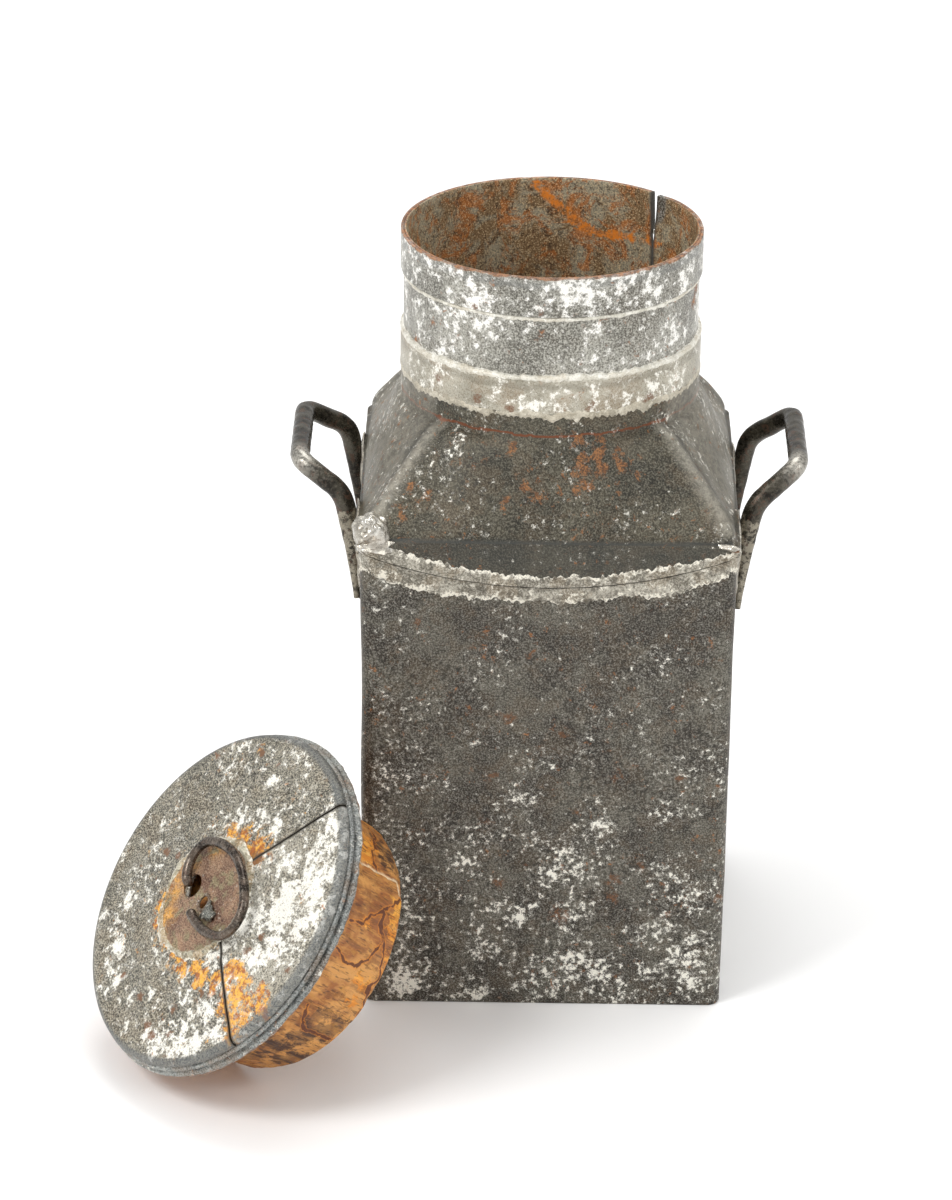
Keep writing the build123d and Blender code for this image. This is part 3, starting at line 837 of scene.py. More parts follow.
# The neck: a tube, a band round its mouth and one round its foot, and the solder along them.
def neckPieces():
    inside = {"radius": 73.9, "dark": tone(128, 102, 70), "light": tone(156, 148, 126),
              "speck": tone(224, 198, 156), "rust": tone(164, 100, 46), "pit": tone(54, 36, 24),
              "streak": tone(228, 132, 34)}
    pale = dict(plainTin, dark=tone(112, 110, 102), light=tone(150, 148, 139), grainShare=0.7, warmth=0.2,
                grainTone=tone(206, 204, 194), pit=tone(76, 72, 65), pitShare=0.4, flakeStart=0.59,
                crowd=0.04, flakeSize=0.0045, flakeTone=tone(246, 244, 238), crowdSize=0.035, metal=0.6,
                roughness=0.36, rustStart=0.605, paleLift=0.075)
    tubeLook = dict(pale, inside=inside, fade=(340, 372, -0.02, 0.012), rustBands=[(391.4, 393.5, 0.85)])
    outer, gap = can["neck"], can["lap"]
    profile = wallProfile(outer, outer - can["sheet"], neck["foot"], neck["head"], 44)
    slitTube("neckTube", profile, "neck_tube", tubeLook, neckSpots["tube"])
    low, bandOut = neck["head"] - neck["rimBand"], outer + gap + neck["bandSheet"]
    bandLook = dict(pale, flakeStart=0.562, rustBands=[(391.3, 393.5, 0.8)], bands=[(386.0, 391.0, 0.5)],
                    bandTone=tone(122, 123, 120))
    profile = wallProfile(bandOut, outer + gap, low, neck["head"], 12, 0.45)
    slitTube("rimBand", profile, "neck_rim_band", bandLook, neckSpots["rim"])
    solderRing("rimSolder", "neck_rim_solder", outer + gap, low - 2.2, low + 0.1, 0.9, 50, 0.8)
    foot = can["collarHead"] + gap
    smear = dict(pale, dark=tone(148, 142, 126), light=tone(180, 174, 158), flakeStart=0.605,
                 crowdSize=0.02, flakeTone=tone(246, 243, 233), warm=tone(150, 128, 102), warmth=0.4,
                 pitShare=0.15, grainShare=0.35, bands=[(333.0, 337.5, 0.45)],
                 bandTone=tone(124, 118, 104))
    profile = wallProfile(bandOut, outer + gap, foot, foot + neck["baseBand"], 12, 0.6)
    slitTube("baseBand", profile, "neck_base_band", smear, neckSpots["base"], slit=False)
    solderRing("baseSolder", "neck_base_solder", outer + gap, foot + neck["baseBand"] - 1.0,
               foot + neck["baseBand"] + 2.4, 1.75, 60, 1.0)
    solderRing("collarSolder", "neck_base_solder", outer + 1.2, foot - 1.8, foot + 1.2, 0.5, 64, 2.2,
               body=tone(204, 197, 180), shade=tone(166, 158, 140), edge=tone(226, 220, 204),
               blotShare=0.5)


# A leg's points are its distance from the can's middle and its height, from its foot up to its elbow.
handleLook = {"rod": 5.0, "grip": 126.0, "gripHalf": 34.8, "gripHeight": 278.6, "legHalf": 45.0,
              "leg": [(96.4, 210.0), (99.2, 236.0), (101.0, 251.0), (104.0, 264.8)], "strapDeep": 1.9,
              "strapSwell": 2.2, "strapWide": 7.4, "reach": 7.5, "drop": 3.4}
ironLook = {"dark": tone(40, 37, 32), "light": tone(72, 68, 59), "worn": tone(146, 140, 128),
            "rust": tone(84, 56, 38), "tin": tone(146, 139, 124), "polishAndHighlight": tone(204, 200, 190),
            "wornShare": 0.18, "bump": 0.18, "roughness": 0.27}


# Dark iron: brown black ground with rust freckles, and brighter where hands have worn it. With a tin tone
# in its look it also gets pale tin flakes, and a painted highlight mixed with real polish where the worn
# mark is set.
def ironMaterial(name, look, placeOf=objectPlace):
    made, tree = startMaterial(name)
    where = placeOf(tree)
    cloud = ramp(tree, grain(tree, where, 0.011, 5, 0.65, 0.3), 0.44, 0.56)
    colour = blend(tree, cloud, look["dark"], look["light"])
    fine = grain(tree, where, 0.0016, 6, 0.72)
    colour = layer(tree, colour, fine, 0.52, 0.59, look["wornShare"], look["worn"])
    freckle = ramp(tree, grain(tree, where, 0.005, 6, 0.7, 0.5), 0.55, 0.6, 0.0, 0.6)
    colour = blend(tree, freckle, colour, look["rust"])
    if "tin" in look:
        flakes = plus(tree, grain(tree, where, 0.004, 8, 0.75),
                      ramp(tree, mark(tree, "tinned"), 0, 1, -0.2, 0.04))
        colour = layer(tree, colour, flakes, 0.49, 0.55, 0.9, look["tin"])
        # At the grip's front bend (the worn mark) the colour is lifted toward a pale tone: a painted
        # highlight mixed with real polish.
        polishAndHighlight = times(tree, mark(tree, "worn"), ramp(tree, fine, 0.42, 0.55, 0.4, 1.0))
        colour = blend(tree, polishAndHighlight, colour, look["polishAndHighlight"])
    rough = span(tree, fine, look["roughness"] - 0.06, look["roughness"] + 0.16)
    rough = plus(tree, rough, times(tree, freckle, 0.25))
    metal = ramp(tree, freckle, 0.0, 1.0, 0.75, 0.1)
    endMaterial(tree, colour, rough, metal, plus(tree, fine, times(tree, freckle, -0.4)),
                {"strength": look["bump"], "depth": 0.0006})
    return made


# An open line through the corners, where each inner corner is rounded by a curve of the given reach.
def roundedLine(corners, reach, step):
    corners = np.asarray(corners, float)
    parts = [corners[:1]]
    for before, at, after in zip(corners[:-2], corners[1:-1], corners[2:]):
        inWay = (before - at) / np.linalg.norm(before - at)
        outWay = (after - at) / np.linalg.norm(after - at)
        size = min(reach, np.linalg.norm(before - at) * 0.48, np.linalg.norm(after - at) * 0.48)
        t = np.linspace(0, 1, 12)[:, None]
        start, end = at + inWay * size, at + outWay * size
        parts.append(start * (1 - t) ** 2 + 2 * at * t * (1 - t) + end * t**2)
    parts.append(corners[-1:])
    line = refine(np.vstack(parts), step)
    keep = np.append(True, np.linalg.norm(np.diff(line, axis=0), axis=1) > 1e-6)
    return line[keep]


# A section carried along a line: at each point it spans the way square to the line and nearest to
# `facing`, by `deep`, and the way across both, by `wide`. The power makes it round (2) or boxy (4).
def sweepLine(line, facing, deep, wide, power, count=40, seed=0, rough=0.0):
    way = np.gradient(line, axis=0)
    way /= np.linalg.norm(way, axis=1, keepdims=True)
    facing = np.asarray(facing, float)
    normal = facing - (way @ facing)[:, None] * way
    normal /= np.linalg.norm(normal, axis=1, keepdims=True)
    across = np.cross(way, normal)
    turn = np.arange(count) / count * 2 * np.pi
    c, s = np.cos(turn)[:, None], np.sin(turn)[:, None]
    boxy = 2 / power[None, :]
    first = np.sign(c) * np.abs(c) ** boxy * deep[None, :]
    second = np.sign(s) * np.abs(s) ** boxy * wide[None, :]
    points = line[None] + first[..., None] * normal[None] + second[..., None] * across[None]
    if rough:
        points = line + (points - line) * (1 + rough * waves(points, 7, seed))[..., None]
    return points


# Under each strap a ridge of solder stands between the iron and the wall, highest in its middle.
def strapSolder(name, y, side, drop, replaced, material, seed):
    height = np.linspace(207, 261, 40)
    line = np.stack([95.0 + 1.0 * smooth((height - 226) / 14), np.full(40, y), height], -1)
    swell = np.sqrt(np.clip(np.sin(np.linspace(0.04, 3.1, 40)), 0, 1))
    points = sweepLine(line, (1, 0, 0), 1.9 * swell, 9.6 * swell + 0.2, np.full(40, 2.6), 40)
    away = waves(points, 9, seed) * 0.35
    points[..., 0] += away
    points[..., 1] += away * 1.6
    points = points * np.array([side, 1, 1]) - np.array([0, 0, drop])
    gridPiece(name, "can", points, material, [replaced], fans=True, sharp=70)


# A loop of rod whose legs flatten from round to straps: strap share grows below the elbow. The grip
# keeps its height and the legs are set lower by `drop`.
def handle(name, side, drop, replaced, solderNode, material, solder):
    look = handleLook
    leg, grip = look["legHalf"], look["gripHalf"]
    up = [(x, leg, z - drop) for x, z in look["leg"]]
    elbowX, elbowZ = look["leg"][-1]
    bends = [(look["grip"], y, look["gripHeight"]) for y in (-grip, grip)]
    corners = [(x, -y, z) for x, y, z in up] + bends + up[::-1]
    line = roundedLine(corners, look["reach"], 1.2)
    z = line[:, 2] + drop
    flat = smooth((261 - z) / 26) * (line[:, 0] < elbowX + 1)
    strap = look["strapDeep"] + look["strapSwell"] * smooth((z - look["leg"][0][1]) / 44)
    deep = look["rod"] * (1 - flat) + strap * flat
    wide = look["rod"] * (1 - flat) + look["strapWide"] * flat
    power = 2.0 + 2.6 * flat
    lean = atan2(look["gripHeight"] - elbowZ, look["grip"] - elbowX)
    points = sweepLine(line, (-sin(lean), 0, cos(lean)), deep, wide, power, 44, 7, 0.018)
    tinned = smooth((263 - z) / 8) * (line[:, 0] < elbowX - 1) * (line[:, 1] < 0)
    tinned = np.broadcast_to(tinned, points.shape[:2])
    # Around the grip's front bend: real polish and a painted highlight, stored as the worn mark.
    bend = np.array([look["grip"] - 1.0, -grip, look["gripHeight"]])
    bendPolishAndHighlight = 0.85 * bell(np.linalg.norm(points - bend, axis=-1), 0, 8)
    points = points * np.array([side, 1, 1])
    gridPiece(name, "can", points, material, [replaced], fans=True, sharp=50,
              marks={"tinned": tinned, "worn": bendPolishAndHighlight})
    for number, y in enumerate((-leg, leg)):
        strapSolder(f"{name}Solder{number + 1}", y, side, drop, solderNode, solder, 70 + number)


# Both handles; the right one's legs sit a little lower.
def handles():
    iron = ironMaterial("handleIron", ironLook)
    pale = dict(solderLook, body=tone(206, 201, 190), shade=tone(160, 153, 140))
    solder = solderMaterial("strapSolder", pale, False)
    handle("leftHandle", -1, 0.0, "handle_left", "handle_solder_left", iron, solder)
    handle("rightHandle", 1, handleLook["drop"], "handle_right", "handle_solder_right", iron, solder)


lid = {"origin": (-120.5, -132.3, 53.9), "apex": (0.0, 6.0), "sector": (-37.3, 56.7), "edge": 88.65,
       "roll": 3.8, "seamTrim": 0.35, "nudge": 0.4, "innerRadius": 20.0, "flat": 33.0, "top": 67.4,
       "sheet": 1.0, "length": 53.8, "hoop": 91.3, "headRadius": 86.2, "headTop": 60.4, "around": 540,
       "endRadius": 67.9, "rootRadius": 72.3, "plateCentre": (-2.0, -2.5), "plate": 30.0}
lidOut = np.array(joints["lid_lift"]["axis"])
lidLevel = np.array([-lidOut[1], lidOut[0], 0.0])
lidLevel /= -np.linalg.norm(lidLevel) if lidLevel[0] < 0 else np.linalg.norm(lidLevel)
lidUp = np.cross(lidOut, lidLevel)
lidTurn = Matrix([lidLevel, lidUp, lidOut])


# From the lid's own frame (x level across the cap, y up across it, z out of its face) to the can's.
def placed(points):
    return np.array(lid["origin"]) + points @ np.array([lidLevel, lidUp, lidOut])


# The same frame for materials: the object's coordinates turned and moved to the lid's own.
def lidPlace(tree):
    where = put(tree, "TexCoord").outputs["Object"]
    shift = lidTurn @ (Vector(lid["origin"]) * mm)
    mapping = put(tree, "Mapping", {"Vector": where, "Location": -shift, "Rotation": lidTurn.to_euler()})
    return mapping.outputs[0]


# The height of the tin face: flat in the middle, then a low cone down to the rounded edge.
def faceHeight(radius):
    edge, flat = lid["edge"] - lid["roll"], lid["flat"]
    share = np.clip((radius - flat) / (edge - flat), 0, 1)
    return lid["top"] - 2.5 * share**1.15


# One sheet of the face: rays run from the apex to the rim and on over the rounded edge. Low waves
# dent it, and its cut sides stand a sheet's thickness deep.
def faceSheet(name, start, end, replaced, look):
    apex = np.array(lid["apex"])
    count = int(abs(end - start) * 2.2)
    rows = 90
    share = np.linspace(0, 1, count)
    trim = lid["seamTrim"]
    turn = np.radians(start + trim + (end - start - 2 * trim) * share)
    way = np.stack([np.cos(turn), np.sin(turn)], -1)
    edge, roll, sheet = lid["edge"], lid["roll"], lid["sheet"]
    rim = edge - roll
    across = way @ apex
    reach = -across + np.sqrt(across**2 - apex @ apex + rim * rim)
    first = lid["innerRadius"] / reach
    part = first[:, None] + (1 - first[:, None]) * np.linspace(0, 1, rows)[None, :]
    spots = apex + way[:, None] * (reach[:, None] * part)[..., None]
    radius = np.linalg.norm(spots, axis=-1)
    top = np.concatenate([spots, faceHeight(radius)[..., None]], -1)
    fade = smooth((radius - 34) / 10) * smooth((rim - radius) / 8)
    top[..., 2] += fade * (0.5 * waves(top, 60, 81) + 0.16 * waves(top, 17, 82))
    outward = spots[:, -1] / rim
    low = lid["top"] - 2.5
    bends = np.radians([12, 24, 36, 48, 60, 72, 82, 90])
    lipRadius = np.append(rim + roll * np.sin(bends), [edge, edge - 0.4])[:, None]
    lipHeight = low - np.append(3.4 * (1 - np.cos(bends)), [4.0, 4.5])[:, None]
    lip = outward[:, None] * lipRadius
    lip = np.concatenate([lip, np.broadcast_to(lipHeight, lip[..., :1].shape)], -1)
    under = lip.copy()
    under[..., :2] *= (1 - sheet / np.linalg.norm(lip[..., :2], axis=-1))[..., None]
    under[..., 2] -= np.array([0.9, 0.8, 0.7, 0.6, 0.45, 0.3, 0.15, 0.0, 0.0, 0.0])
    outer = np.concatenate([top, lip], 1)
    inner = np.concatenate([top - np.array([0, 0, sheet]), under], 1)
    points = doubled(outer, inner)
    middle = radians((start + end) / 2)
    nudge = lid["nudge"] if abs(end - start) < 180 else -lid["nudge"]
    points[..., :2] += nudge * np.array([cos(middle), sin(middle)])
    x, y = points[..., 0], points[..., 1]
    marks = {key: spotShare(x, y, places) for key, places in lidSpots.items()}
    toSeam = np.minimum(share, 1 - share)[:, None] * np.radians(abs(end - start))
    toSeam = toSeam * np.hypot(x - apex[0], y - apex[1])
    marks["seam"] = 0.95 * (1 - smooth((toSeam - 0.3) / 0.8))
    edgeward = smooth((np.hypot(x, y) - (rim - 0.6)) / 2.4)
    marks["pale"] = marks["pale"] * (1 - edgeward)
    marks["rolled"] = edgeward
    gridPiece(name, "lid", placed(points), agedTin(name + "Tin", look, lidPlace), [replaced],
              closeU=False, closeV=True, thinEnds=True, sharp=50, marks=marks)


lidSpots = {
    "pale": [
        (-4, 83, 9), (0, 46, 9), (-13, 41, 6), (14, 46, 7), (54, 56, 9), (52, 66, 7), (49, 28, 9),
        (52, 16, 10), (69, 34, 8), (54, 48, 8), (65, 1, 9), (55, -11, 6), (31, -23, 8), (50, -64, 12),
        (46, -45, 9), (41, -74, 8), (62, -50, 7), (18, -75, 7), (-3, -77, 6), (25, -47, 7),
        (73, 10, 7), (43, 75, 7), (10, 79, 4), (-82, -15, 4), (-67, 11, 4), (-68, -44, 5), (71, 49, 7),
        (42, -37, 6), (74, 21, 7), (-10, 64, 5), (17, -41, 5), (60, 40, 10), (40, 36, 8), (36, -2, 6),
        (42, 8, 8), (34, -58, 9), (30, -72, 7), (-60, -30, 5), (-30, -64, 7), (-44, -52, 6),
        (-14, -66, 7), (4, -58, 6), (46, -30, 7), (56, -54, 8)],
    "rust": [
        (50, -22, 9), (60, -29, 10), (72, -32, 9), (67, -41, 8), (74, -22, 7), (71, -47, 5),
        (57, -37, 7), (29, -34, 8), (40, -31, 7), (13, -37, 6), (-27, -19, 8), (-23, -25, 7),
        (-7, -30, 6), (4, -33, 7), (-1, 33, 9), (12, 32, 10), (-11, 30, 7), (20, -34, 6), (81, -27, 5)],
    "brown": [
        (-29, 71, 2.5), (12, -70, 3), (19, -73, 3), (29, -67, 2.5), (-5, -62, 3), (-51, 2, 2.5),
        (-41, 4, 2.5), (81, -4, 2), (49, -10, 3), (52, 0, 2.5), (36, -40, 3), (-28, -60, 2),
        (23, -56, 3), (16, 29, 5), (-59, 56, 2)]}


# The face's two sheets: the wide one and the paler sector between the seams.
def lidFace():
    main = dict(plainTin, dark=tone(84, 83, 75), light=tone(116, 112, 101), warm=tone(116, 100, 76),
                warmth=0.4, pit=tone(60, 55, 46), pitShare=0.55, grainShare=0.7,
                grainTone=tone(208, 200, 180), flakeSize=0.0042, flakeTone=tone(250, 247, 237),
                flakeStart=0.585, crowd=0.03, crowdSize=0.03, paleLift=0.11, rustSize=0.005,
                rustStart=0.61, rustDark=tone(170, 92, 22), rustLight=tone(244, 180, 66),
                brown=tone(116, 76, 46), metal=0.42, roughness=0.36, bump=0.35,
                rolled=tone(96, 100, 101), solid=0.8)
    sector = dict(main, flakeStart=0.542, warmth=0.15, dark=tone(122, 119, 109),
                  light=tone(168, 164, 152))
    start, end = lid["sector"]
    faceSheet("faceMain", end, start + 360, "lid_face_main", main)
    faceSheet("faceSector", start, end, "lid_face_sector", sector)


# The skirt: a turned profile with a groove under the face's lip, a raised bead and a rough lower edge.
def hoop():
    low, rim = lid["length"], lid["hoop"]
    outer = [(rim - 3.7, 8.7), (rim - 3.9, 7.0), (rim - 3.5, 6.5), (rim - 2.4, 6.2), (rim - 1.5, 5.6),
             (rim - 1.2, 4.9), (rim - 1.5, 4.2), (rim - 2.3, 3.6), (rim - 2.4, 3.1), (rim - 1.4, 2.5),
             (rim - 0.3, 1.9), (rim + 0.1, 1.1), (rim - 0.2, 0.0)]
    inner = [(r - 1.0 - 0.4 * (z > 5), z) for r, z in outer[::-1]]
    profile = np.array([(r, low + z) for r, z in outer + inner])
    points = turnProfile(profile, lid["around"])
    share = np.arange(lid["around"]) / lid["around"]
    rough = ragged(share, 91, [(46, 0.5), (150, 0.45), (420, 0.25)])[:, None]
    near = smooth((low + 2.4 - points[..., 2]) / 2.4)
    points[..., 2] += near * rough
    points[..., :2] *= (1 + near * 0.004 * ragged(share, 92, [(60, 0.6), (300, 0.4)])[:, None])[..., None]
    # The two dark bands sit in the grooves: painted shade.
    look = dict(plainTin, dark=tone(112, 115, 113), light=tone(150, 152, 147), warm=tone(120, 96, 72),
                warmth=0.5, grainShare=0.4, grainTone=tone(196, 198, 194), flakeStart=0.6,
                flakeSize=0.004, rustStart=0.585, pitShare=0.3,
                fade=(54, 60, 0.035, -0.03), metal=0.5, roughness=0.36, bump=0.45,
                bands=[(56.4, 57.8, 0.7), (60.2, 61.4, 0.7)], bandTone=tone(56, 58, 58),
                rustBands=[(53.0, 54.6, 0.6)])
    gridPiece("rimHoop", "lid", placed(points), agedTin("hoopTin", look, lidPlace),
              ["lid_rim_hoop"], closeV=True, sharp=60)


woodLook = {"brown": tone(152, 92, 42), "pale": tone(206, 148, 80), "orange": tone(214, 130, 36),
            "yellow": tone(238, 170, 66), "line": tone(78, 36, 20), "dash": tone(66, 42, 26),
            "burnt": tone(62, 40, 30), "crack": tone(236, 214, 178)}
# Places on the wood's side: the turn about the lid's axis in degrees, and the height from its end in mm.
woodMarks = {
    "line": [
        [(25, 34), (26, 26), (31, 21), (36, 14), (40, 8), (45, 2)],
        [(12, 36), (9, 28), (9, 21), (13, 16), (18, 12), (23, 11), (29, 14), (35, 14)],
        [(35, 14), (28, 12), (21, 8), (15, 5), (11, 3), (6, 5), (0, 3), (-8, 2)],
        [(-23, 0), (-24, 6), (-24, 14), (-24, 21), (-22, 26), (-16, 30), (-13, 33)],
        [(52, 20), (62, 22), (75, 12), (95, 16), (120, 8), (150, 14), (190, 6)],
        [(-60, 12), (-80, 20), (-105, 9), (-130, 13), (-165, 5)]],
    "crack": [[(52, 34), (52, 22), (52, 12), (52, 5), (47, 3)]],
    "orange": [
        (40, 3, 6), (35, 6, 5), (28, 3, 6), (20, 1, 5), (13, 0, 4), (58, 28, 9), (66, 22, 8),
        (90, 4, 9), (130, 3, 9), (-90, 3, 8), (5, 12, 5), (-4, 10, 4), (27, 24, 3)],
    "burnt": [
        (62, 8, 8), (70, 10, 9), (-21, 12, 10), (-18, 22, 8), (-15, 5, 6), (-30, 20, 8), (-39, 26, 11),
        (-44, 8, 10), (-52, 24, 10), (-68, 30, 12), (100, 22, 10), (160, 24, 12)]}


# Old turned wood: cloudy brown with fine dashes along the grain, dark winding lines where the damp
# stopped, orange wood beyond the line nearest the end, a pale crack and dark dirt.
def woodMaterial():
    made, tree = startMaterial("stopperWood")
    where = lidPlace(tree)
    look = woodLook
    cloud = span(tree, grain(tree, where, 0.022, 5, 0.6, 0.6))
    colour = blend(tree, cloud, look["brown"], look["pale"])
    fibre = grain(tree, where, 0.0022, 5, 0.65, 0.0, (1, 1, 0.14))
    streaks = grain(tree, where, 0.007, 6, 0.7, 0.2, (1, 1, 0.2))
    colour = layer(tree, colour, fibre, 0.5, 0.6, 0.5, look["pale"])
    colour = layer(tree, colour, streaks, 0.48, 0.42, 0.42, look["line"])
    edging = swing(tree, grain(tree, where, 0.006, 6, 0.7), 0.45)
    zone = ramp(tree, plus(tree, mark(tree, "orange"), edging), 0.35, 0.6)
    orange = blend(tree, ramp(tree, streaks, 0.45, 0.55), look["orange"], look["yellow"])
    colour = blend(tree, times(tree, zone, 0.85), colour, orange)
    dash = ramp(tree, grain(tree, where, 0.0012, 2, 0.5, 0.0, (1, 1, 0.2)), 0.58, 0.64, 0.0, 0.55)
    colour = blend(tree, dash, colour, look["dash"])
    dirt = ramp(tree, plus(tree, mark(tree, "burnt"), edging), 0.28, 0.65)
    dirt = times(tree, dirt, ramp(tree, streaks, 0.44, 0.54, 0.95, 0.5))
    colour = blend(tree, dirt, colour, look["burnt"])
    near = plus(tree, mark(tree, "line"), times(tree, edging, 0.25))
    colour = layer(tree, colour, near, 0.15, 0.6, 0.55, look["orange"])
    on = plus(tree, mark(tree, "line"), times(tree, edging, 0.4))
    line = ramp(tree, on, 0.62, 0.78, 0.0, 0.9)
    colour = blend(tree, line, colour, look["line"])
    colour = blend(tree, mark(tree, "crack"), colour, look["crack"])
    height = plus(tree, times(tree, dash, -0.7), fibre)
    height = plus(tree, height, times(tree, line, -0.3))
    endMaterial(tree, colour, span(tree, fibre, 0.5, 0.72), 0.0, height,
                {"strength": 0.5, "depth": 0.0008})
    return made


# A tapered plug under a flat head, turned about the lid's axis. Its end edge is chipped by a ragged
# bevel, long waves take it slightly out of round, and a crack is cut as a shallow groove.
def stopper():
    count = 600
    length, end, root = lid["length"], lid["endRadius"], lid["rootRadius"]
    head, top = lid["headRadius"], lid["headTop"]
    side = [(end + (root - end) * z / length, z) for z in np.linspace(2.6, length + 0.4, 70)]
    bevel = [(1.0, 0.0), (20.0, 0.0), (40.0, 0.0), (58.0, 0.0), (end - 3.0, 0.0), (end - 1.4, 0.3),
             (end - 0.5, 1.0), (end, 1.9)]
    under = [(root, length + 0.6), (head, length + 0.6), (head, top), (1.0, top)]
    points = turnProfile(np.array(bevel + side + under), count)
    share = np.arange(count) / count
    turn, z = (share * 360)[:, None], points[..., 2]
    turn = np.where(turn > 200, turn - 360, turn)
    radius = np.linalg.norm(points[..., :2], axis=-1)
    arc = root * pi / 180
    bent = turn * arc + 0.5 * waves(points, 9, 105) + 0.25 * waves(points, 3, 106)
    shifted = z + 0.9 * waves(points, 12, 107) + 0.5 * waves(points, 4, 108)

    def along(lines):
        return [[(x * arc, height) for x, height in line] for line in lines]

    marks = {"line": 1 - smooth(lineGap(bent, shifted, along(woodMarks["line"])) / 2.2),
             "crack": 1 - smooth((lineGap(bent, z, along(woodMarks["crack"])) - 0.25) / 0.5)}
    for key in ("orange", "burnt"):
        places = [(x * arc, height, size) for x, height, size in woodMarks[key]]
        marks[key] = spotShare(bent, shifted, places)
    chip = np.clip(ragged(share, 101, [(14, 1.2), (44, 1.0), (130, 0.5)]) - 0.3, 0, 2.4)
    near = bell(z, 1.2, 1.6) * (radius > 60)
    plug = (z < length + 0.5) & (radius > 50)
    change = plug * (0.35 * waves(points, 45, 103) + 0.12 * waves(points, 9, 104)) - chip[:, None] * near
    change = change - 0.7 * marks["crack"] * plug
    points[..., :2] *= ((radius + change) / radius)[..., None]
    gridPiece("stopper", "lid", placed(points), woodMaterial(), ["lid_stopper"], fans=True,
              sharp=50, marks=marks)


# The round plate keeps its shape and gets a rust film, with warm glows at its rim.
def rustedPlate():
    look = dict(plainTin, glowPlaces=[(-27, -8, 68, 12), (-20, -23, 68, 11), (-26, 6, 68, 9),
                                      (-14, 22, 68, 9)],
                glow=tone(222, 160, 62), dark=tone(108, 72, 55), light=tone(156, 122, 96),
                warm=tone(136, 126, 92), warmth=0.9, grainShare=0.4, grainTone=tone(200, 182, 156),
                pit=tone(66, 46, 38), flakeStart=0.66, rustStart=0.575, rustDark=tone(138, 82, 34),
                rustLight=tone(222, 156, 66), rustSize=0.008, cloudSize=0.016, metal=0.3, roughness=0.45,
                bump=0.3)
    node = frame["nodes"]["lid_centre_plate"]
    node.data.materials.clear()
    node.data.materials.append(agedTin("plateRust", look, lidPlace))


ring = {"long": 31.4, "short": 19.5, "endRadius": 14.0, "turn": -13.9, "centre": (8.7, 5.1, 73.7),
        "slope": (0.05, 0.1), "openAngle": 261.8, "wire": 2.5, "bend": 3.5, "bendAngle": 70.0,
        "stub": 1.5}


# The ring's line: four arcs make an oval, open at the lower left, and one end bends down into its hole.
def ringLine():
    long, short, small = ring["long"], ring["short"], ring["endRadius"]
    big = (long**2 + short**2 - 2 * long * small) / (2 * (short - small))
    endMiddle, sideMiddle = long - small, big - short
    join = degrees(atan2(sideMiddle, endMiddle))
    parts = []
    for x, y, radius, start, end in ((0, sideMiddle, big, ring["openAngle"], 360 - join),
                                     (endMiddle, 0, small, -join, join),
                                     (0, -sideMiddle, big, join, 180 - join),
                                     (-endMiddle, 0, small, 180 - join, 180 + join)):
        turn = np.radians(np.arange(start, end, 40 / radius))
        parts.append(np.stack([x + radius * np.cos(turn), y + radius * np.sin(turn), 0 * turn], -1))
    tail = radians(180 + join)
    start = np.array([-endMiddle + small * cos(tail), small * sin(tail), 0])
    heading = np.array([-sin(tail), cos(tail), 0])
    down = np.array([0, 0, -1.0])
    bend = np.radians(np.linspace(0, ring["bendAngle"], 8))[:, None]
    curve = start + ring["bend"] * (np.sin(bend) * heading + (1 - np.cos(bend)) * down)
    last = radians(ring["bendAngle"])
    tip = curve[-1:] + (cos(last) * heading + sin(last) * down) * ring["stub"]
    line = np.vstack(parts + [curve, tip])
    turn = radians(ring["turn"])
    slopeX, slopeY = ring["slope"]
    run = np.array([cos(turn), sin(turn), slopeX * cos(turn) + slopeY * sin(turn)])
    normal = np.array([-slopeX, -slopeY, 1.0])
    run, normal = run / np.linalg.norm(run), normal / np.linalg.norm(normal)
    return np.array(ring["centre"]) + line @ np.array([run, np.cross(normal, run), normal])


# The wire carried along the ring's line: rounded ends, and a size that waves a little with wear.
def pullRing():
    line = ringLine()
    count = len(line)
    ends = np.minimum(np.arange(count), np.arange(count)[::-1])
    tip = np.sqrt(np.clip((ends + 0.2) / 2.5, 0, 1))
    worn = 1 + 0.05 * waves(line, 16, 111)
    size = ring["wire"] * tip * worn
    points = sweepLine(line, (0.05, 0.02, 1.0), size, size, np.full(count, 2.0), 40, 112, 0.02)
    look = {"dark": tone(46, 39, 34), "light": tone(98, 87, 77), "worn": tone(196, 186, 172),
            "rust": tone(84, 60, 46), "roughness": 0.2, "wornShare": 0.22, "bump": 0.2}
    gridPiece("pullRing", "lid_ring", placed(points), ironMaterial("ringWire", look, lidPlace),
              ["lid_ring"], fans=True, sharp=70)


tongue = {"start": (3.2, -6.2, 68.5), "length": 11.5, "half": 5.2, "curl": 3.6, "sheet": 0.8}


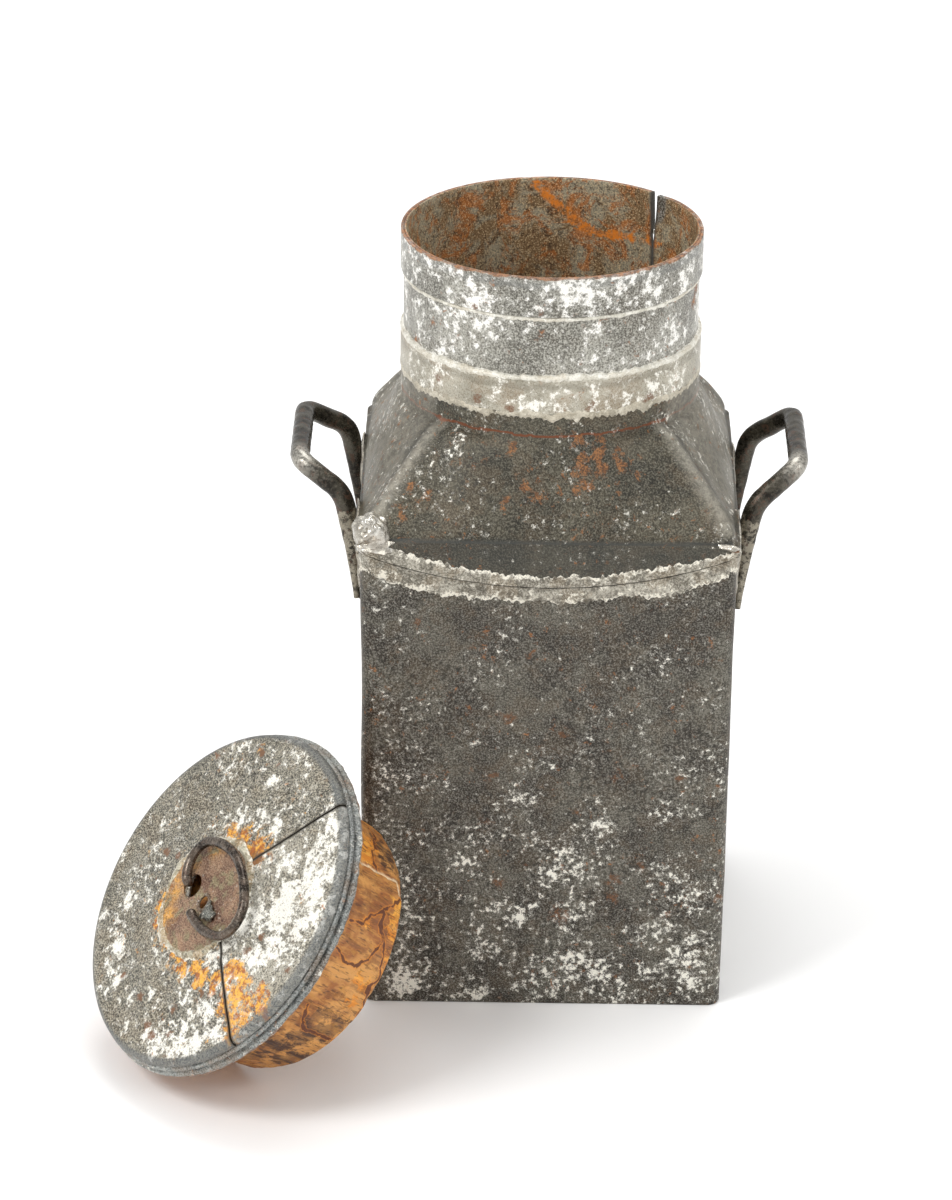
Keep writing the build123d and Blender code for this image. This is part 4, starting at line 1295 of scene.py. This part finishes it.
# A torn tongue of sheet: a strip that curls up out of its hole, narrowing to its tip.
def tornTongue():
    along = np.linspace(0, 1, 24)[:, None]
    across = np.linspace(-1, 1, 13)[None, :]
    x0, y0, z0 = tongue["start"]
    width = tongue["half"] * (1 - 0.55 * along**1.4) * (1 + 0.12 * np.sin(along * 19 + across * 2))
    x = x0 + tongue["length"] * along - 0.5 * across**2
    y = y0 + width * across - 1.5 * along
    z = z0 + tongue["curl"] * np.sin(along * 2.6) * (1 - 0.35 * across**2)
    top = np.stack([x, y, z], -1)
    bottom = top - np.array([0.15, 0, tongue["sheet"]])
    points = doubled(top, bottom)
    points = points + 0.25 * waves(points, 5, 121)[..., None] * np.array([0.3, 0.3, 1])
    look = dict(plainTin, dark=tone(74, 78, 78), light=tone(120, 122, 116), grainShare=0.5, warmth=0.5,
                warm=tone(120, 100, 66), metal=0.55, roughness=0.36, bump=0.5)
    gridPiece("tornTongue", "lid", placed(points), agedTin("tornTin", look, lidPlace),
              closeU=False, closeV=True, thinEnds=True, sharp=60)


tornLip = {"centre": (0.2, -4.8), "radius": 3.3, "wide": 1.8, "tall": 1.5, "foot": 68.2, "floor": 67.7}


# A raised lip round a punched hole: an arched ring whose height waves round the hole.
def holeLip():
    share = np.arange(90) / 90
    rise = tornLip["tall"] * (0.55 + 0.6 * ragged(share, 141, [(5, 0.7), (14, 0.4)]))
    arch = np.linspace(0, np.pi, 9)
    radius = tornLip["radius"] * (1 + 0.07 * ragged(share, 142, [(7, 0.8)]))
    radius = radius[:, None] + tornLip["wide"] * (1 - np.cos(arch)) / 2
    z = tornLip["foot"] + np.clip(rise, 0.15, None)[:, None] * np.sin(arch)
    points = around(radius, share[:, None] * 2 * np.pi, z) + np.array([*tornLip["centre"], 0])
    points = onFloor(points, tornLip["floor"])
    look = dict(plainTin, dark=tone(96, 72, 58), light=tone(138, 112, 88), metal=0.4, bump=0.6)
    gridPiece("tornLip", "lid", placed(points), agedTin("tornLipTin", look, lidPlace), closeV=True,
              sharp=60)


plateRing = {"inside": -1.2, "outside": 2.6, "foot": 68.35, "tall": 0.55, "floor": 67.0}


# The pale solder round the centre plate: an arched ring with ragged borders.
def plateSolder():
    share = np.arange(420) / 420
    arch = np.linspace(0, 1, 10)
    inner = lid["plate"] + plateRing["inside"] + ragged(share, 131, [(30, 0.5), (120, 0.4)])
    outer = lid["plate"] + plateRing["outside"] + ragged(share, 132, [(16, 1.4), (60, 0.9), (200, 0.6)])
    radius = inner[:, None] + (outer - inner)[:, None] * arch
    z = plateRing["foot"] + plateRing["tall"] * np.sin(np.pi * arch) - smooth(arch * 1.6 - 0.5)
    points = around(radius, share[:, None] * 2 * np.pi, z) + np.array([*lid["plateCentre"], 0])
    across = np.broadcast_to(arch, radius.shape)
    look = dict(solderLook, body=tone(196, 190, 168), shade=tone(150, 138, 110), warm=tone(176, 136, 80))
    gridPiece("plateSolder", "lid", placed(onFloor(points, plateRing["floor"])),
              solderMaterial("plateSolderTin", look), ["lid_centre_solder"], closeV=True,
              marks={"across": doubled(across, across)}, sharp=60)


# Dark tin and solder for the parts that stay as they are inside the can.
def hiddenNodes():
    hidden = dict(plainTin, flakeStart=0.74)
    tin = agedTin("underTin", hidden)
    solder = solderMaterial("seamSolder", solderLook, False)
    for node, material in (("bottom_plate", tin), ("body_seam_solder", solder),
                           ("bottom_seam_solder", solder)):
        frame["nodes"][node].data.materials.clear()
        frame["nodes"][node].data.materials.append(material)


setCamera()
setStudio()
print("room and camera set")
bodyWall()
shoulder()
print("body and shoulder made")
solderRun()
cornerLumps()
neckPieces()
print("solder and neck made")
handles()
print("handles made")
lidFace()
hoop()
stopper()
rustedPlate()
plateSolder()
pullRing()
tornTongue()
holeLip()
print("lid made")
hiddenNodes()
